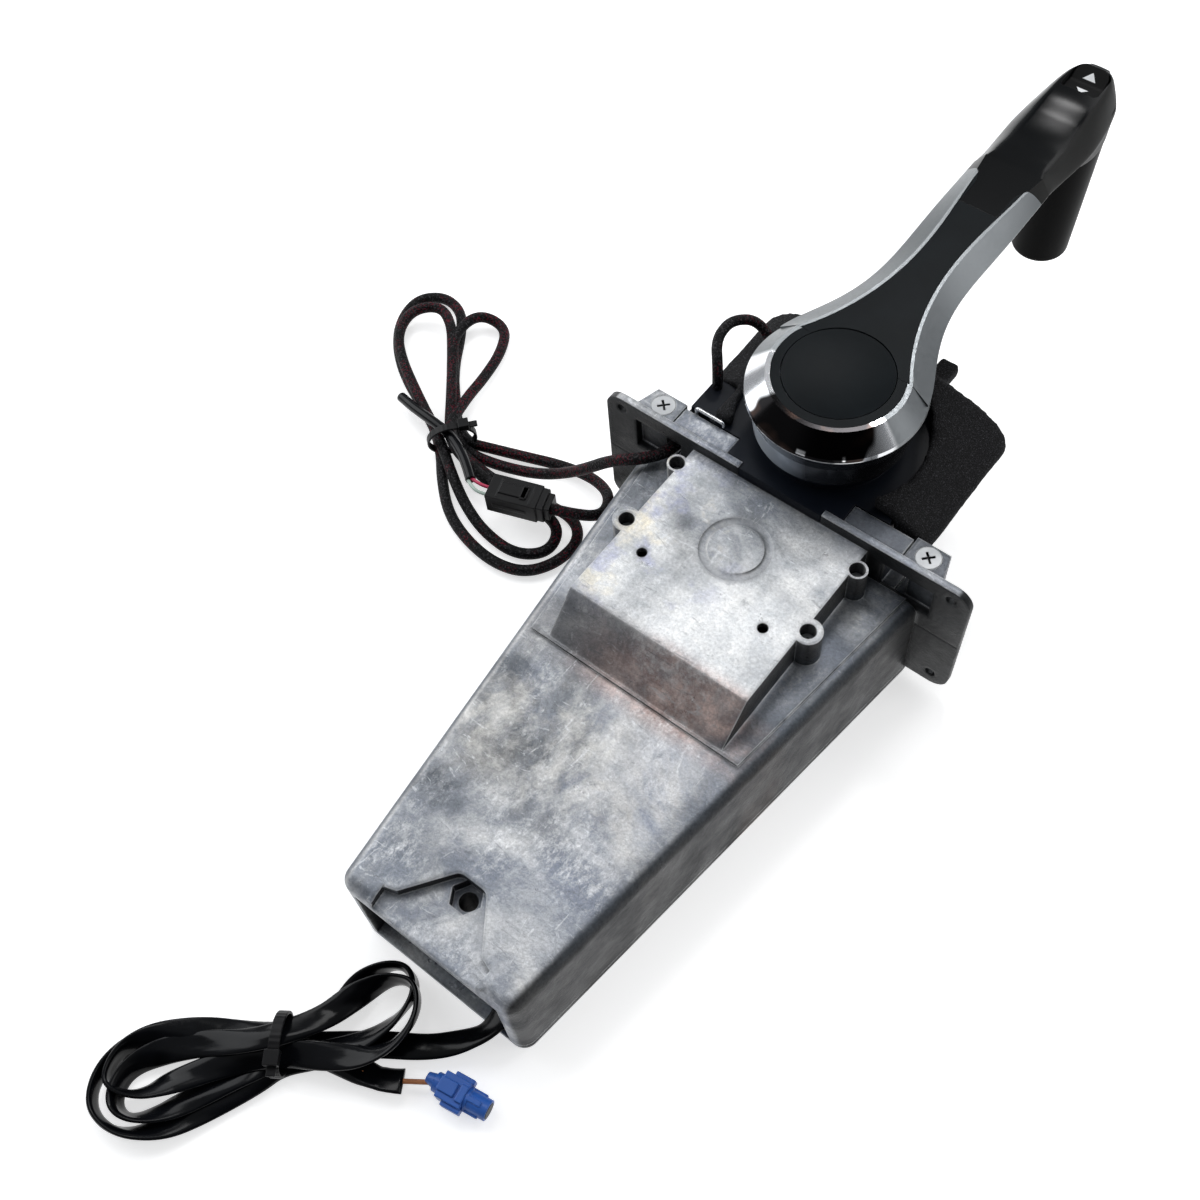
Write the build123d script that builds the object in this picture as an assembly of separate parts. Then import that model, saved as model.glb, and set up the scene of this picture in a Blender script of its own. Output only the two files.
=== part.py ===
"""Single-lever top-mount boat control, throttle and shift, lying on its back.

Frame: millimetres, +Z up from the surface that the control lies on, +X along the deck
flange, +Y from the cable end of the below-deck housing towards the lever.  The origin is
the centre of the footprint, on that surface.  Every Y is counted from the deck flange.
"""
from build123d import *
import math
import os

os.makedirs("parts", exist_ok=True)

# ------------------------------------------------------------ driving dimensions
below_deck = 245.0          # housing depth under the deck flange
above_deck = 267.0          # reach of the lever above the deck flange
deck = (below_deck - above_deck) / 2        # Y of the flange's below-deck face
low_end = deck - below_deck                 # Y of the housing's cable end

wall = 3.2                  # cast wall of the housing
plate = 4.0                 # rear cover thickness
box_top = 60.0              # height of the lower front face
step_up = 1.5               # shoulder above the lower front face
platform_top = 80.0         # height of the raised front platform
end_half = 46.0             # half width at the cable end
root_half = 75.0            # half width at the flange
crease = deck - 108.7       # where the ramp leaves the lower face
ramp_top = deck - 90.0      # where the ramp reaches the platform
platform_half = 46.5
edge_round = 6.0
end_rim = 9.0               # thick rim of the open cable end
rim_depth = 8.0

flange_half = 97.0
flange_low = 6.0
flange_high = 86.0
flange_thick = 3.5
flange_round = 9.0
seam = 46.5                 # parting height of flange and lugs
deck_face = deck + flange_thick             # Y of the flange's above-deck face
deck_hole_x = flange_half - 9.0
deck_hole_low = 14.0
deck_hole_high = 79.0
deck_hole_r = 2.6
window_in, window_out = 54.0, flange_half - 17.0     # harness windows, |x|
window_low, window_high = 57.0, 77.0
gear_window_half = 27.0
gear_window_low, gear_window_high = 20.0, 58.0
notch_half = 22.0           # notch of the plastic pod in the flange's top edge
notch_low = 80.0

post_x = 48.2
post_y = (deck - 10.5, deck - 48.0)
post_boss = (4.7, 6.5)
post_r = 4.6
screw_r = 2.0
screw_head_r = 3.4
screw_head_low = 68.0
screw_head_high = 72.0
post_foot = 12.0            # where front posts meet the rear bosses
accessory_x, accessory_y, accessory_r = 32.0, deck - 58.0, 2.5
accessory_depth = 4.0
dome_y, dome_ring = deck - 32.6, 14.5

nut_y = deck - 218.0        # captive nut pocket at the cable end
nut_across_flats = 13.0
nut_depth = 6.5
nut_hole_r = 4.2
nut_post_r = 10.0
pocket_depth = 5.0
pocket_floor = 3.0

lug_in, lug_out, lug_deep, lug_top, lug_low = 61.5, flange_half - 15.5, 12.0, 85.0, 12.0
lug_screw_x, lug_screw_y = (lug_in + lug_out) / 2 - 1.0, deck + 9.2
lug_screw_r, lug_head_r = 2.9, 5.7
bar_out = 60.7
bar_deep = 10.0

hub_y = deck + 41.0         # lever axis
shaft_r = 8.0
fit = 0.03                  # radial running clearance
face_gap = 0.3
cheek_half = 36.0
cheek_low, cheek_high = 12.0, 74.0
cheek_thick = 5.5
frame_end = deck + 81.0
frame_wall = 3.4

gear_module = 2.0
gear_teeth = 34
gear_low, gear_high = 30.0, 40.0
gear_pitch_r = gear_module * gear_teeth / 2
throttle_y = hub_y - 2 * gear_pitch_r       # second gear's axis, inside the housing
gear_pin_r = 4.0
throttle_boss_r = 6.4
arm_low, arm_high = 44.0, 49.0
throttle_arm = 38.5
arm_angle = -60.0
crank = 24.0
crank_angle = 190.0
link_low, link_high = 22.0, 27.0
link_length = 58.0
shift_arm_low, shift_arm_high = 14.0, 19.0
shift_radius = 34.0
stud_r = 2.5

pod_half = 48.0
pod_wall = 2.5
pod_low = 8.0
pod_top = 85.5
pod_end = deck + 84.3
collar_r = 32.0
collar_top = 97.0
foam_left, foam_right = 62.0, 67.0
foam_low, foam_shoulder, foam_crown = pod_top - 9.5, pod_top - 5.5, pod_top + 13.5
foam_start, foam_end = deck + 16.0, deck + 88.0
foam_hole = 44.0

hub_top = 126.3
ring_r = 40.0               # chrome ring of the hub
ring_z = hub_top - 8.3
rim_r = 31.5
inlay_r = 29.2
inlay_thick = 3.3
button_r = 24.5
button_gap = 0.4
button_thick = 6.8
button_travel = 4.0
well_floor = hub_top - 12.3
skirt_low = hub_top - 32.3
hub_boss_r, hub_boss_low = 13.0, hub_top - 38.3
web_low, web_high = hub_top - 22.3, hub_top - 18.3
bolt_r, bolt_head_r = 4.0, 6.5

grip_y = hub_y + 208.5
grip_r = 14.8
grip_top_r = 17.5
grip_low, grip_high = 27.5, hub_top - 4.3
grip_core_r = 9.0
rocker_y = hub_y + 212.5
rocker_half_x, rocker_half_y = 8.6, 8.6
rocker_top = hub_top + 6.9
rocker_axis_z = rocker_top - 7.2
rocker_floor = rocker_top - 11.2
rocker_corner = 5.0
rocker_gap = 0.9

# lever blade: station from the hub axis, inlay half width, outer half width,
# underside half width, rise of the top over the hub's top
blade_stations = (
    (12, 27.6, 38.0, 28.0, 0.1),
    (32, 17.4, 29.6, 21.0, 0.7),
    (51, 11.5, 22.4, 15.0, 1.4),
    (66, 9.0, 19.8, 12.5, 1.9),
    (95, 8.5, 19.4, 12.0, 2.7),
    (137, 12.0, 19.6, 12.5, 3.7),
    (165, 14.6, 19.2, 12.5, 4.3),
    (190, 14.4, 18.4, 12.5, 5.1),
    (206, 13.4, 17.2, 12.0, 5.5),
    (218, 10.6, 14.2, 10.5, 5.3),
    (226, 6.0, 9.6, 6.5, 4.7),
)
blade_sections = [(s, a, b, c, hub_top + rise) for s, a, b, c, rise in blade_stations]
blade_lip = 1.6             # satin lip between inlay and bevel
bevel_drop = 7.0
edge_thick = 2.2
blade_thick = 17.0
blade_low = hub_top - blade_thick


# ------------------------------------------------------------ helpers
def block(x0, x1, y0, y1, z0, z1):
    return Pos((x0 + x1) / 2, (y0 + y1) / 2, (z0 + z1) / 2) * Box(x1 - x0, y1 - y0, z1 - z0)


def rod(x, y, z0, z1, r):
    return Pos(x, y, (z0 + z1) / 2) * Cylinder(r, z1 - z0)


def ring(x, y, z0, z1, r_out, r_in):
    return rod(x, y, z0, z1, r_out) - rod(x, y, z0 - 1, z1 + 1, r_in)


def prism(points, z0, z1):
    return Pos(0, 0, z0) * extrude(make_face(Polyline(*points, close=True)), z1 - z0)


def side_prism(points, half):
    """Profile in Y and Z, extruded to both sides along X."""
    face = make_face(Polyline(*[(0, y, z) for y, z in points], close=True))
    return Pos(-half, 0, 0) * extrude(face, 2 * half, dir=(1, 0, 0))


def both_sides(make):
    return make(-1) + make(1)


def half_width(y):
    return end_half + (root_half - end_half) * (y - low_end) / below_deck


def plan(inset, y0, y1):
    w0, w1 = half_width(y0) - inset, half_width(y1) - inset
    return [(-w0, y0), (w0, y0), (w1, y1), (-w1, y1)]


# ------------------------------------------------------------ below-deck housing
def housing_shell():
    body = prism(plan(0, low_end, deck), plate, box_top)
    corners = body.edges().filter_by(Axis.Z).sort_by(Axis.Y)[:2]
    body = fillet(corners, edge_round + 1)
    rim = [e for e in body.edges() if e.center().Z > box_top - 0.1 and e.center().Y < deck - 1]
    body = fillet(rim, edge_round)
    body += prism(plan(edge_round + 0.5, crease, deck), box_top - 1, box_top + step_up)
    platform = side_prism(
        [(deck, box_top - 1), (deck, platform_top), (ramp_top, platform_top),
         (crease, box_top), (crease, box_top - 1)], platform_half)
    for x in (-post_x, post_x):
        for y, r in zip(post_y, post_boss):
            platform += rod(x, y, box_top - 1, platform_top, r)
    body += platform
    groove = Pos(0, dome_y, platform_top + 2.2) * Torus(dome_ring, 3.0)
    return body - groove


def housing_cavity():
    inner_top = box_top - wall
    room = prism(plan(wall, low_end + rim_depth, deck - 0), plate - 1, inner_top)
    under = side_prism(
        [(deck, inner_top - 1), (deck, platform_top - wall), (ramp_top + 1, platform_top - wall),
         (crease + 3, inner_top - 1)], platform_half - wall)
    mouth_half = end_half - 8.0
    mouth = block(-mouth_half, mouth_half, low_end - 1, low_end + rim_depth + 1,
                  plate - 1, box_top - end_rim)
    return room + under + mouth


def pocket_outline(grow):
    g = grow
    return [(-27.5 - g, low_end - 1), (-28.5 - g, deck - 236), (-22.5 - g, deck - 234 + g),
            (-7 - g, deck - 212.5 + g), (7 + g, deck - 212.5 + g), (22.5 + g, deck - 234 + g),
            (28.5 + g, deck - 236), (27.5 + g, low_end - 1)]


def front_housing():
    body = housing_shell() - housing_cavity()
    # floor under the lowered pocket, the nut post and the screw posts
    under_pocket = prism(pocket_outline(2.5), box_top - pocket_depth - pocket_floor, box_top - 1)
    body += under_pocket & prism(plan(1, low_end + 1, deck), 0, box_top)
    body += rod(0, nut_y, post_foot, box_top - pocket_depth, nut_post_r)
    for x in (-post_x, post_x):
        for y in post_y:
            body += rod(x, y, post_foot, platform_top - 1, post_r)
    body += rod(0, throttle_y, gear_pin_top, platform_top - 1, 8.0)
    pocket = prism(pocket_outline(0), box_top - pocket_depth, box_top + 5)
    rounded = [e for e in pocket.edges().filter_by(Axis.Z) if abs(e.center().Y - (deck - 212.5)) < 1]
    body -= fillet(rounded, 5.0)
    nut = Pos(0, nut_y, box_top - pocket_depth - nut_depth) * extrude(
        RegularPolygon(nut_across_flats / 2, 6, major_radius=False), nut_depth + 1)
    body -= nut
    body -= rod(0, nut_y, 0, box_top, nut_hole_r)
    for x in (-post_x, post_x):
        for y in post_y:
            body -= rod(x, y, screw_head_low, platform_top + 1, screw_head_r + face_gap)
            body -= rod(x, y, 0, screw_head_low + 1, screw_r + 0.25)
    for x in (-accessory_x, accessory_x):
        body -= rod(x, accessory_y, platform_top - accessory_depth, platform_top + 1, accessory_r)
    body -= rod(0, throttle_y, 0, gear_pin_end, gear_pin_r + fit)
    # upper half of the deck flange with its screw lugs
    flange = block(-flange_half, flange_half, deck, deck_face, seam, flange_high)
    top_corners = [e for e in flange.edges().filter_by(Axis.Y) if e.center().Z > seam + 1]
    flange = fillet(top_corners, flange_round)
    body += flange
    body += both_sides(lambda s: lug(s, seam, lug_top))
    body -= both_sides(lambda s: rod(s * lug_screw_x, lug_screw_y, 0, lug_top + 1, lug_screw_r + 0.15))
    body -= both_sides(lambda s: Pos(s * lug_screw_x, lug_screw_y, lug_top - lug_head_depth / 2)
                       * Cone(lug_screw_r + 0.15, lug_head_r + 0.15, lug_head_depth))
    body -= both_sides(lambda s: flange_window(s))
    body -= both_sides(lambda s: harness_tunnel(s))
    body -= block(-gear_window_half, gear_window_half, deck - 1, deck_face + 1,
                  gear_window_low, gear_window_high)
    body -= block(-notch_half, notch_half, deck - 0.01, deck_face + 1, notch_low, flange_high + 1)
    body -= both_sides(lambda s: deck_hole(s, deck_hole_high))
    return body


lug_head_depth = lug_head_r - lug_screw_r
gear_pin_top = 56.3
gear_pin_end = 72.0


def lug(s, z0, z1):
    points = [(s * lug_in, deck_face), (s * lug_out, deck_face), (s * (lug_out - 3.5), deck_face + lug_deep),
              (s * lug_in, deck_face + lug_deep)]
    return prism(points, z0, z1)


def flange_window(s):
    x0, x1 = sorted((s * window_in, s * window_out))
    return block(x0, x1, deck - 0.01, deck_face + 1, window_low, window_high)


def harness_tunnel(s):
    x0, x1 = sorted((s * (lug_in - 1), s * (lug_screw_x - 4.8)))
    return block(x0, x1, deck, deck_face + lug_deep + 1, window_low, window_high)


def deck_hole(s, z):
    return Pos(s * deck_hole_x, deck + flange_thick / 2, z) * (
        Rot(90, 0, 0) * Cylinder(deck_hole_r, flange_thick + 4))


def rear_housing():
    body = prism(plan(0, low_end, deck), 0, plate)
    corners = body.edges().filter_by(Axis.Z).sort_by(Axis.Y)[:2]
    body = fillet(corners, edge_round + 1)
    for x in (-post_x, post_x):
        for y in post_y:
            body += rod(x, y, plate - 1, post_foot, post_r + 0.6)
    body += rod(0, nut_y, plate - 1, post_foot, nut_post_r)
    body += rod(0, throttle_y, plate - 1, gear_pin_foot, 8.0)
    body += rod(shift_x, shift_y, plate - 1, shift_arm_low - face_gap, 7.0)
    body += block(40, 60, throttle_y - 12, throttle_y + 11.5, plate - 1, switch_low)
    for x in saddle_x:
        body += block(x - saddle_half, x + saddle_half, saddle_y - 6, saddle_y + 6, plate - 1, saddle_top)
    flange = block(-flange_half, flange_half, deck, deck_face, flange_low, seam)
    low_corners = [e for e in flange.edges().filter_by(Axis.Y) if e.center().Z < seam - 1]
    flange = fillet(low_corners, flange_round)
    body += flange
    body += block(-root_half, root_half, deck, deck_face, 0, flange_low + flange_round)
    body += both_sides(lambda s: lug(s, lug_low, seam))
    body -= both_sides(lambda s: rod(s * lug_screw_x, lug_screw_y, lug_low + 4, seam + 1,
                                     lug_screw_r + fit))
    body -= block(-gear_window_half, gear_window_half, deck - 1, deck_face + 1,
                  gear_window_low, seam + 1)
    body -= both_sides(lambda s: deck_hole(s, deck_hole_low))
    for x in (-post_x, post_x):
        for y in post_y:
            body -= rod(x, y, 2, post_foot + 1, screw_r + fit)
    body -= rod(0, nut_y, -1, post_foot + 1, nut_hole_r)
    body -= rod(0, throttle_y, plate, gear_pin_foot + 1, gear_pin_r + fit)
    body -= rod(shift_x, shift_y, plate, shift_arm_low, gear_pin_r + fit)
    for x in saddle_x:
        body -= Pos(x, saddle_y, saddle_top) * (Rot(90, 0, 0) * Cylinder(saddle_r, 14))
    for x in clamp_screw_x:
        body -= rod(x, saddle_y, plate + 2, saddle_top + 1, 1.6)
    return body


gear_pin_foot = 20.0
switch_low = 28.0
shift_x = crank * math.cos(math.radians(crank_angle)) + shift_radius
shift_y = throttle_y + crank * math.sin(math.radians(crank_angle)) - link_length
saddle_x = (-32.2, -17.8)
saddle_half = 7.2
saddle_y = low_end + 20.0
saddle_top = 22.0
saddle_r = 4.6
clamp_screw_x = (-25.0,)


def housing_screws():
    screws = []
    for x in (-post_x, post_x):
        for y in post_y:
            screw = rod(x, y, 3.0, screw_head_low + 1, screw_r)
            screw += rod(x, y, screw_head_low, screw_head_high, screw_head_r)
            socket = Pos(x, y, screw_head_high - 2) * extrude(
                RegularPolygon(1.5, 6, major_radius=False), 3)
            screws.append(screw - socket)
    return Compound(children=screws)


def lug_screws():
    screws = []
    for s in (-1, 1):
        x = s * lug_screw_x
        screw = rod(x, lug_screw_y, lug_low + 6, lug_top - lug_head_depth, lug_screw_r)
        screw += Pos(x, lug_screw_y, lug_top - lug_head_depth / 2) * Cone(
            lug_screw_r, lug_head_r, lug_head_depth)
        for turn in (45, 135):
            screw -= Pos(x, lug_screw_y, lug_top) * Rot(0, 0, turn) * Box(6.0, 1.1, 3.4)
        screws.append(screw)
    return Compound(children=screws)


# ------------------------------------------------------------ above-deck frame
def neck_frame():
    body = both_sides(lambda s: block(*sorted((s * 31.0, s * bar_out)), deck_face,
                                      deck_face + bar_deep, lug_low, lug_top))
    body += block(-31.5, 31.5, deck_face, deck_face + 6, cheek_low, cheek_high + cheek_thick)
    for z0 in (cheek_low, cheek_high):
        body += block(-cheek_half, cheek_half, deck_face, frame_end, z0, z0 + cheek_thick)
    body += block(-cheek_half, cheek_half, frame_end - frame_wall, frame_end,
                  cheek_low, cheek_high + cheek_thick)
    body -= block(-gear_window_half, gear_window_half, deck, deck_face + 7,
                  gear_window_low, gear_window_high)
    for x in (-22, 22):
        body += block(x - 6, x + 6, frame_end - 22, frame_end - 8, cheek_high, pod_top - 3.5)
    body -= both_sides(lambda s: block(*sorted((s * window_in, s * (bar_out + 1))), deck,
                                       deck_face + bar_deep + 1, window_low, window_high))
    body -= rod(0, hub_y, 0, 200, bush_r + fit)
    body -= rod(detent_x, hub_y, 0, 30, detent_sleeve_r)
    return body


bush_r = 11.0
bush_flange_r = 14.0
bush_flange = 2.0
detent_x = 22.0
detent_sleeve_r = 5.0
detent_r = 3.0


def shaft_bushes():
    bushes = []
    for z0, flange_z in ((cheek_low, cheek_low + cheek_thick), (cheek_high, cheek_high - bush_flange)):
        bush = rod(0, hub_y, z0, z0 + cheek_thick, bush_r)
        bush += rod(0, hub_y, flange_z, flange_z + bush_flange, bush_flange_r)
        bushes.append(bush - rod(0, hub_y, 0, 200, shaft_r + fit))
    return Compound(children=bushes)


def pod_base():
    outer = block(-pod_half, pod_half, deck_face + bar_deep + face_gap, pod_end, pod_low, pod_top)
    inner = block(-pod_half + pod_wall, pod_half - pod_wall, deck_face + bar_deep - 1,
                  pod_end - pod_wall, pod_low - 1, pod_top - 3.5)
    body = outer - inner
    body += block(-30.7, 30.7, deck_face, deck_face + bar_deep + 2, pod_top - 3.5, pod_top)
    body += block(-notch_half + face_gap, notch_half - face_gap, deck, deck_face + 1,
                  notch_low + face_gap, pod_top)
    body += block(-shelf_top_out, -pod_half + 1, shelf_start, shelf_end, shelf_low, pod_top)
    body += block(-shelf_out, -pod_half + 1, shelf_start, shelf_start + 6, shelf_low, shelf_step)
    body += rod(0, hub_y, pod_top - 1, collar_top, collar_r)
    body -= rod(0, hub_y, pod_top - 5, collar_top + 1, collar_r - 3.5)
    return body


shelf_out, shelf_top_out, shelf_low, shelf_step = 63.5, 59.5, 58.0, 75.0
shelf_start, shelf_end = deck_face + lug_deep + face_gap, deck + 36.0


def foam_wrap():
    """Foam pad draped over the neck, with a hole round the hub and one short tab."""
    arch_r = (foam_right ** 2 + (foam_crown - foam_shoulder) ** 2) / (2 * (foam_crown - foam_shoulder))
    arch = Pos(0, (foam_start + foam_end) / 2, foam_crown - arch_r) * (
        Rot(90, 0, 0) * Cylinder(arch_r, foam_end - foam_start))
    slab = block(-foam_left, foam_right, foam_start, foam_end, foam_low, foam_crown + 1)
    far_corners = [e for e in slab.edges().filter_by(Axis.Z) if e.center().Y > foam_end - 1]
    outer = fillet(far_corners, 9.0) & arch
    outer += block(tab_left, tab_left + 10.5, foam_end - 5, foam_end + 13, tab_top - 7, tab_top)
    inner = block(-pod_half - face_gap, pod_half + face_gap, foam_start - 1, pod_end + face_gap,
                  foam_low - 1, pod_top)
    shelf_room = block(-foam_left - 1, -pod_half + 1, foam_start - 1, shelf_end + face_gap,
                       foam_low - 1, foam_crown + 1)
    return outer - inner - shelf_room - rod(0, hub_y, foam_low - 1, foam_crown + 1, foam_hole)


tab_left, tab_top = 19.5, foam_crown - 6.0


def harness_clip():
    path = FilletPolyline((-55.5, deck_face + bar_deep + 1.2, 80.0), (-55.5, deck_face + bar_deep + 1.2, 88.0),
                          (-40.5, deck_face + bar_deep + 1.2, 88.0), (-40.5, deck_face + bar_deep + 1.2, pod_top),
                          radius=1.2)
    return sweep(Plane(path @ 0, z_dir=path % 0) * Circle(0.9), path=path)


# ------------------------------------------------------------ mechanism
def gear_blank(teeth, half_turn):
    """Spur gear outline with flanks thinned by the backlash."""
    tip, root = gear_pitch_r + 0.85 * gear_module, gear_pitch_r - 1.2 * gear_module
    pitch = 2 * math.pi / teeth
    half_tip, half_mid, half_root = 0.125 * pitch, 0.225 * pitch, 0.32 * pitch
    points = []
    for n in range(teeth):
        mid = (n + (0.5 if half_turn else 0.0)) * pitch
        for offset, r in ((-half_root, root), (-half_mid, gear_pitch_r), (-half_tip, tip),
                          (half_tip, tip), (half_mid, gear_pitch_r), (half_root, root)):
            points.append((r * math.cos(mid + offset), r * math.sin(mid + offset)))
    return make_face(Polyline(*points, close=True))


def main_shaft():
    shaft = rod(0, hub_y, 9.0, web_low, shaft_r)
    return shaft - rod(0, hub_y, web_low - 18, web_low + 1, bolt_r)


def drive_gear():
    gear = Pos(0, hub_y, gear_low) * extrude(gear_blank(gear_teeth, False), gear_high - gear_low)
    gear += rod(0, hub_y, gear_low, gear_high + 12, 14.0)
    gear -= rod(0, hub_y, 0, 200, shaft_r + 0.01)
    gear -= Pos(detent_x, hub_y, gear_low + 0.4) * Sphere(detent_r)
    for turn in range(6):
        angle = math.radians(60 * turn + 30)
        gear -= rod(22.5 * math.cos(angle), hub_y + 22.5 * math.sin(angle), 0, 60, 5.0)
    return gear


def shaft_clip():
    clip = ring(0, hub_y, cheek_low - 1.6, cheek_low - face_gap, shaft_r + 3.0, shaft_r + 0.01)
    return clip - block(-3, 3, hub_y - 14, hub_y - 5, 9, 13)


def gear_pin():
    return rod(0, throttle_y, plate, gear_pin_end, gear_pin_r)


def throttle_gear():
    gear = Pos(0, throttle_y, gear_low) * extrude(gear_blank(gear_teeth, True), gear_high - gear_low)
    gear += rod(0, throttle_y, gear_low, gear_pin_top - face_gap, throttle_boss_r + 3)
    gear += rod(0, throttle_y, gear_pin_foot + face_gap, gear_low, throttle_boss_r)
    arm = SlotCenterToCenter(throttle_arm, 14)
    arm = Pos(0, throttle_y, arm_low) * Rot(0, 0, arm_angle) * Pos(throttle_arm / 2, 0, 0) * extrude(
        arm, arm_high - arm_low)
    gear += arm
    gear += crank_point(throttle_arm, arm_angle, arm_high - 1, arm_high + 9, 3.0)
    gear += crank_point(crank, crank_angle, link_low - 1.5, gear_low + 1, stud_r)
    gear -= rod(0, throttle_y, 0, 100, gear_pin_r + fit)
    for turn in range(6):
        angle = math.radians(60 * turn + 40)
        gear -= rod(22 * math.cos(angle), throttle_y + 22 * math.sin(angle), gear_low - 1,
                    gear_high + 1, 4.0)
    return gear


def crank_point(radius, angle, z0, z1, r):
    a = math.radians(angle)
    return rod(radius * math.cos(a), throttle_y + radius * math.sin(a), z0, z1, r)


def shift_link():
    a = math.radians(crank_angle)
    x, y = crank * math.cos(a), throttle_y + crank * math.sin(a)
    body = rod(x, y, link_low, link_high, 5.5)
    end = y - link_length
    body += block(x - 9.5, x - 3.5, end, y + 3, link_low, link_high)
    body += block(x - 9.5, x, y - 3, y + 3, link_low, link_high)
    body += block(x - 15.5, x + 7.2, end - 9, end + 7.5, link_low, link_high)
    body -= block(x - 12.0, x + 3.7, end - 5.5, end + 3.8, 0, 60)
    return body - rod(x, y, 0, 60, stud_r + fit)


def shift_arm():
    pin_x = shift_x - shift_radius
    arm = Pos((pin_x + shift_x) / 2, shift_y, shift_arm_low) * extrude(
        SlotCenterToCenter(shift_radius, 12), shift_arm_high - shift_arm_low)
    arm += Pos(shift_x + 14, shift_y, shift_arm_low) * extrude(
        SlotCenterToCenter(28, 12), shift_arm_high - shift_arm_low)
    arm += rod(shift_x, shift_y, shift_arm_low, shift_arm_high + 5, 8.0)
    arm += rod(pin_x, shift_y, shift_arm_high - 1, link_high + 1.5, stud_r)
    arm += rod(shift_x + 28, shift_y, shift_arm_high - 1, shift_arm_high + 9, 3.0)
    return arm - rod(shift_x, shift_y, 0, 60, gear_pin_r + fit)


def shift_pin():
    pin = rod(shift_x, shift_y, plate, shift_arm_high + 7, gear_pin_r)
    return pin + rod(shift_x, shift_y, shift_arm_high + 5 + face_gap, shift_arm_high + 7, 6.0)


def detent_sleeve():
    return (rod(detent_x, hub_y, cheek_low - 2, 26.0, detent_sleeve_r)
            - rod(detent_x, hub_y, cheek_low, 27.0, detent_r + fit))


def detent_plunger():
    nose = gear_low - face_gap
    body = rod(detent_x, hub_y, 19.0, nose - detent_r, detent_r)
    return body + Pos(detent_x, hub_y, nose - detent_r) * Sphere(detent_r)


def stack_spring(x, y, z0, z1, r_out, r_in, coils):
    """Wave spring: flat rings that touch on small crests."""
    pitch = (z1 - z0) / coils
    body = None
    for n in range(coils):
        z = z0 + n * pitch
        leaf = ring(x, y, z, z + pitch * 0.45, r_out, r_in)
        mid = (r_out + r_in) / 2
        for k in range(3):
            angle = math.radians(120 * k + 60 * (n % 2))
            crest = block(x - 0.4, x + 0.4, y - 0.4, y + 0.4, z + pitch * 0.4, z + pitch)
            leaf += Pos(mid * math.cos(angle), mid * math.sin(angle), 0) * crest
        body = leaf if body is None else body + leaf
    return body


def neutral_switch():
    body = block(42, 58, throttle_y - 9, throttle_y + 9, switch_low, switch_low + 10)
    body += block(40.5, 42.5, throttle_y - 2, throttle_y + 2, switch_low + 3, switch_low + 7)
    return body


def cable_clamp():
    x0, x1 = saddle_x[0] - saddle_half, saddle_x[-1] + saddle_half
    body = block(x0, x1, saddle_y - 6, saddle_y + 6, saddle_top, saddle_top + 6.5)
    for x in saddle_x:
        body -= Pos(x, saddle_y, saddle_top) * (Rot(90, 0, 0) * Cylinder(saddle_r, 14))
    for x in clamp_screw_x:
        body -= rod(x, saddle_y, 0, 60, 1.8)
    return body


def cable_clamp_screw():
    x = clamp_screw_x[0]
    return (rod(x, saddle_y, plate + 3, saddle_top + 6.5, 1.55)
            + rod(x, saddle_y, saddle_top + 6.5, saddle_top + 9, 3.0))


# ------------------------------------------------------------ lever
def blade():
    faces = []
    for s, inlay, outer, under, top in blade_sections:
        y = hub_y + s
        lip = min(inlay + blade_lip, outer - 1.5)
        points = [(-lip, top), (lip, top), (outer, top - bevel_drop), (outer - 0.6, top - bevel_drop - edge_thick),
                  (under, top - blade_thick), (-under, top - blade_thick),
                  (-outer + 0.6, top - bevel_drop - edge_thick), (-outer, top - bevel_drop)]
        faces.append(make_face(Polyline(*[(x, y, z) for x, z in points], close=True)))
    return loft(faces)


def inlay_band(s_end, grow=0.0, rise=0.0):
    faces = []
    for s, inlay, _, _, top in blade_sections:
        if s <= s_end:
            y = hub_y + s
            half = inlay + grow
            points = [(-half, top + rise), (half, top + rise), (half, top - inlay_thick),
                      (-half, top - inlay_thick)]
            faces.append(make_face(Polyline(*[(x, y, z) for x, z in points], close=True)))
    return loft(faces)


def handle_plan():
    """Plan of the black handle: a tongue between the satin trims, then the full width."""
    tongue = 9.6
    s0, s1, s2 = hub_y + 113.0, hub_y + 126.0, hub_y + 139.0
    right = Spline((tongue, s1, 0), (15.0, s2 - 3, 0), (26.0, s2, 0), tangents=((0.1, 1, 0), (1, 0.05, 0)))
    left = Spline((-26.0, s2, 0), (-15.0, s2 - 3, 0), (-tongue, s1, 0), tangents=((1, -0.05, 0), (0.1, -1, 0)))
    end = hub_y + 240.0
    outline = [right, Line((26.0, s2, 0), (26.0, end, 0)), Line((26.0, end, 0), (-26.0, end, 0)),
               Line((-26.0, end, 0), (-26.0, s2, 0)), left, Line((-tongue, s1, 0), (-tongue, s0, 0)),
               Line((-tongue, s0, 0), (tongue, s0, 0)), Line((tongue, s0, 0), (tongue, s1, 0))]
    return Pos(0, 0, blade_low - 10) * extrude(make_face(outline), blade_thick + 40)


def hub():
    profile = [(inlay_r + 0.1, hub_top), (rim_r, hub_top), (ring_r, ring_z), (ring_r + 0.3, ring_z - 2.0),
               (ring_r - 2.8, 107.0), (35.6, skirt_low), (33.2, skirt_low), (34.4, web_low),
               (hub_boss_r, web_low), (hub_boss_r, hub_boss_low), (shaft_r + 0.01, hub_boss_low),
               (shaft_r + 0.01, web_low), (bolt_r + 0.2, web_low), (bolt_r + 0.2, web_high),
               (bolt_head_r + 0.8, web_high), (bolt_head_r + 0.8, well_floor),
               (button_r + button_gap + 0.3, well_floor), (button_r + button_gap + 0.3, hub_top - inlay_thick),
               (inlay_r + 0.1, hub_top - inlay_thick)]
    face = make_face(Polyline(*[(r, 0, z) for r, z in profile], close=True))
    return Pos(0, hub_y, 0) * revolve(face, Axis.Z)


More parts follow.
